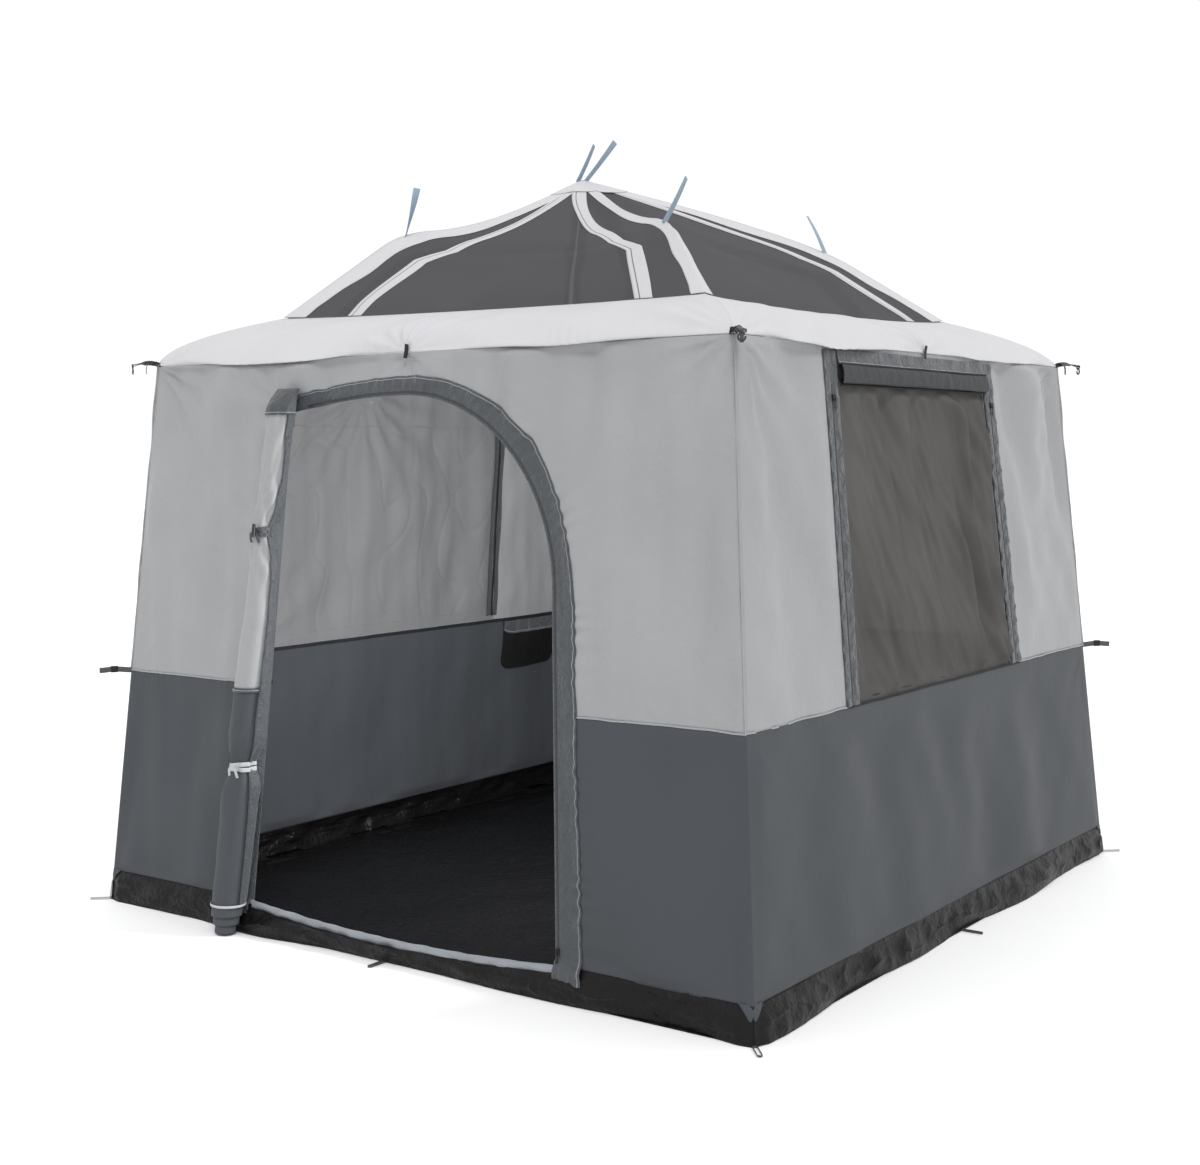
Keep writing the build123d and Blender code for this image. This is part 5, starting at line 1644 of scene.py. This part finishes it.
def build_hardware():
    """Finishes of the hard parts, whose shapes stay as they are."""
    for name, obj in frame["nodes"].items():
        if obj.hide_render:
            continue
        finish = "plastic" if name.startswith("eave_clip") or name == "door_toggle" else "metal"
        obj.data.materials.clear()
        obj.data.materials.append(stuff(finish))
        flat = np.zeros(len(obj.data.polygons), bool)
        obj.data.polygons.foreach_set("use_smooth", flat)


# ---------------------------------------------------------------- build: stage


STAGE_R = 60.0


def build_stage():
    """Pale round floor, the light and the camera."""
    scene = bpy.context.scene
    scene.view_settings.view_transform = "Standard"
    r, a = np.meshgrid(np.linspace(0, 1, 3) * STAGE_R, np.linspace(0, 2 * math.pi, 65)[:-1], indexing="ij")
    disc = np.stack([r * np.cos(a), r * np.sin(a), -0.0015 + 0 * r], -1)
    verts, loops, counts, _ = grid_mesh([(disc, False, True, None, False)])
    mesh = bpy.data.meshes.new("stage_floor")
    mesh.from_pydata(verts.tolist(), [], np.split(loops, np.cumsum(counts)[:-1]))
    merge_doubles(mesh)
    face_away(mesh, (0, 0, -5))
    floor = bpy.data.objects.new("stage_floor", mesh)
    scene.collection.objects.link(floor)
    material, tree, bsdf = shader("Stage_paper", Roughness=0.9, Specular_IOR_Level=0.1)
    place = add(tree, "TexCoord").outputs["Object"]
    grain = add(tree, "TexNoise", {"Vector": place, "Scale": 3.0, "Detail": 3.0})
    tone = {0: grain.outputs[0], 6: linear("#FAFAFA"), 7: linear("#FDFDFD")}
    tree.links.new(add(tree, "Mix", tone, data_type="RGBA").outputs[2], bsdf.inputs["Base Color"])
    mesh.materials.append(material)
    build_light()
    build_camera()


SKY_LEVEL = 1.04
SKY_SLOPE = (0.05, 0.03, 0.04)  # how much brighter it is towards the right, the back and the top
KEY_WATTS = 1.25
KEY_ANGLE = 16  # degrees, for soft shadows
KEY_FROM = (0.50, -0.50, 0.70)
FILL_WATTS = 58.0
FILL_SIZE = 0.9
FILL_PLACE = (0.75, -0.55, 1.15)
FILL_BACK = (1.9, -0.85, 0.35)  # away from what it lights


def build_light():
    """Nearly even bright sky, a soft key light, and a fill inside the tent as if through its near walls."""
    scene = bpy.context.scene
    world = bpy.data.worlds.new("Studio")
    scene.world = world
    world.use_nodes = True
    tree = world.node_tree
    tree.nodes.clear()
    way = add(tree, "TexCoord").outputs["Generated"]
    slope = add(tree, "VectorMath", {0: way, 1: SKY_SLOPE}, operation="DOT_PRODUCT")
    level = add(tree, "Math", {0: slope.outputs["Value"], 1: SKY_LEVEL}, operation="ADD")
    sky = add(tree, "Background", {"Color": (1.0, 1.0, 1.0, 1.0), "Strength": level.outputs[0]})
    add(tree, "OutputWorld", {"Surface": sky.outputs[0]})
    sun = bpy.data.lights.new("key", "SUN")
    sun.energy = KEY_WATTS
    sun.angle = math.radians(KEY_ANGLE)
    key = bpy.data.objects.new("key", sun)
    key.rotation_mode = "QUATERNION"
    key.rotation_quaternion = Vector(KEY_FROM).to_track_quat("Z", "Y")
    scene.collection.objects.link(key)
    fill = bpy.data.lights.new("cabin_fill", "AREA")
    fill.shape = "RECTANGLE"
    fill.size, fill.size_y = FILL_SIZE, FILL_SIZE
    fill.energy = FILL_WATTS
    lamp = bpy.data.objects.new("cabin_fill", fill)
    lamp.location = FILL_PLACE
    lamp.rotation_mode = "QUATERNION"
    lamp.rotation_quaternion = Vector(FILL_BACK).to_track_quat("Z", "Y")
    lamp.visible_camera = False
    scene.collection.objects.link(lamp)


CAMERA_PLACE = (3.664, -5.225, 1.611)
CAMERA_TURN = (-36.0, -4.28, -0.44)  # azimuth, pitch and roll, in degrees
CAMERA_LENS = 50.2


def build_camera():
    data = bpy.data.cameras.new("camera")
    data.sensor_width = 36.0
    data.lens = CAMERA_LENS
    data.clip_end = 200.0
    camera = bpy.data.objects.new("camera", data)
    azimuth, pitch, roll = (math.radians(angle) for angle in CAMERA_TURN)
    level = math.cos(pitch)
    ahead = Vector((math.sin(azimuth) * level, math.cos(azimuth) * level, math.sin(pitch)))
    right = Vector((math.cos(azimuth), -math.sin(azimuth), 0.0))
    up = right.cross(ahead)
    level_right = right * math.cos(roll) + up * math.sin(roll)
    level_up = up * math.cos(roll) - right * math.sin(roll)
    turn = Matrix((level_right, level_up, -ahead)).transposed()
    camera.matrix_world = Matrix.Translation(CAMERA_PLACE) @ turn.to_4x4()
    bpy.context.scene.collection.objects.link(camera)
    bpy.context.scene.camera = camera


# ---------------------------------------------------------------- operators and panel


STEPS = (
    ("stage", "Stage", "Adds the pale floor, the soft light and the camera", build_stage),
    ("floor", "Floor and tub", "Adds the floor cloth and the four tub walls", build_floor),
    ("front_wall", "Door wall", "Adds the cloth of the door wall", build_front_wall),
    ("right_wall", "Window wall", "Adds the wall with its net, trims and rolled cover", build_right_wall),
    ("left_wall", "Covered window wall", "Adds the wall, its closed window and the pocket", build_left_wall),
    ("back_wall", "Back wall", "Adds the plain back wall", build_back_wall),
    ("seams", "Seams", "Adds bindings, welts and corner seams", build_seams),
    ("door_trim", "Door trim", "Adds the door's trim, its sill and all zip coils", build_door_trim),
    ("door_roll", "Rolled door", "Adds the rolled door panel with its ties", build_roll),
    ("roof", "Roof", "Adds the roof band, mesh faces, ribs, hip tapes and peak cap", build_roof),
    ("hanging_straps", "Hanging straps", "Adds the straps at the hips and the peak", build_hanging_straps),
    ("eave_straps", "Eave straps", "Adds the straps that hold the hooks", build_eave_straps),
    ("small_straps", "Tabs and leg straps", "Adds tabs at the eaves, straps at the seam", build_small_straps),
    ("stake_loops", "Stake loops", "Adds the peg loops at the foot of the tent", build_stake_loops),
    ("hardware", "Hardware", "Gives sliders, pulls, hooks and toggle their finishes", build_hardware),
)


def make_operator(key, label, text, build):
    """Operator class of one building step."""

    def execute(self, context):
        build()
        return {"FINISHED"}

    members = {"bl_idname": f"tent.{key}", "bl_label": label, "__doc__": text, "execute": execute}
    return type(f"TENT_OT_{key}", (bpy.types.Operator,), members)


OPERATORS = [make_operator(*step) for step in STEPS]


class TENT_PT_panel(bpy.types.Panel):
    """Lists the tent's sizes, colours and building steps"""

    bl_idname = "TENT_PT_panel"
    bl_label = "Tent"
    bl_space_type = "VIEW_3D"
    bl_region_type = "UI"
    bl_category = "Tent"

    def draw(self, context):
        for group in (context.scene.tent_sizes, context.scene.tent_colours):
            column = self.layout.column(align=True)
            for key in group.bl_rna.properties.keys():
                if key not in ("rna_type", "name"):
                    column.prop(group, key)
        for key, label, _, _ in STEPS:
            self.layout.operator(f"tent.{key}", text=label)


CLASSES = [TentSizes, TentColours, *OPERATORS, TENT_PT_panel]


def register():
    for cls in CLASSES:
        bpy.utils.register_class(cls)
    bpy.types.Scene.tent_sizes = PointerProperty(type=TentSizes)
    bpy.types.Scene.tent_colours = PointerProperty(type=TentColours)


def unregister():
    del bpy.types.Scene.tent_colours
    del bpy.types.Scene.tent_sizes
    for cls in reversed(CLASSES):
        bpy.utils.unregister_class(cls)


def main():
    register()
    for key, _, _, _ in STEPS:
        getattr(bpy.ops.tent, key)()


if __name__ == "__main__":
    main()
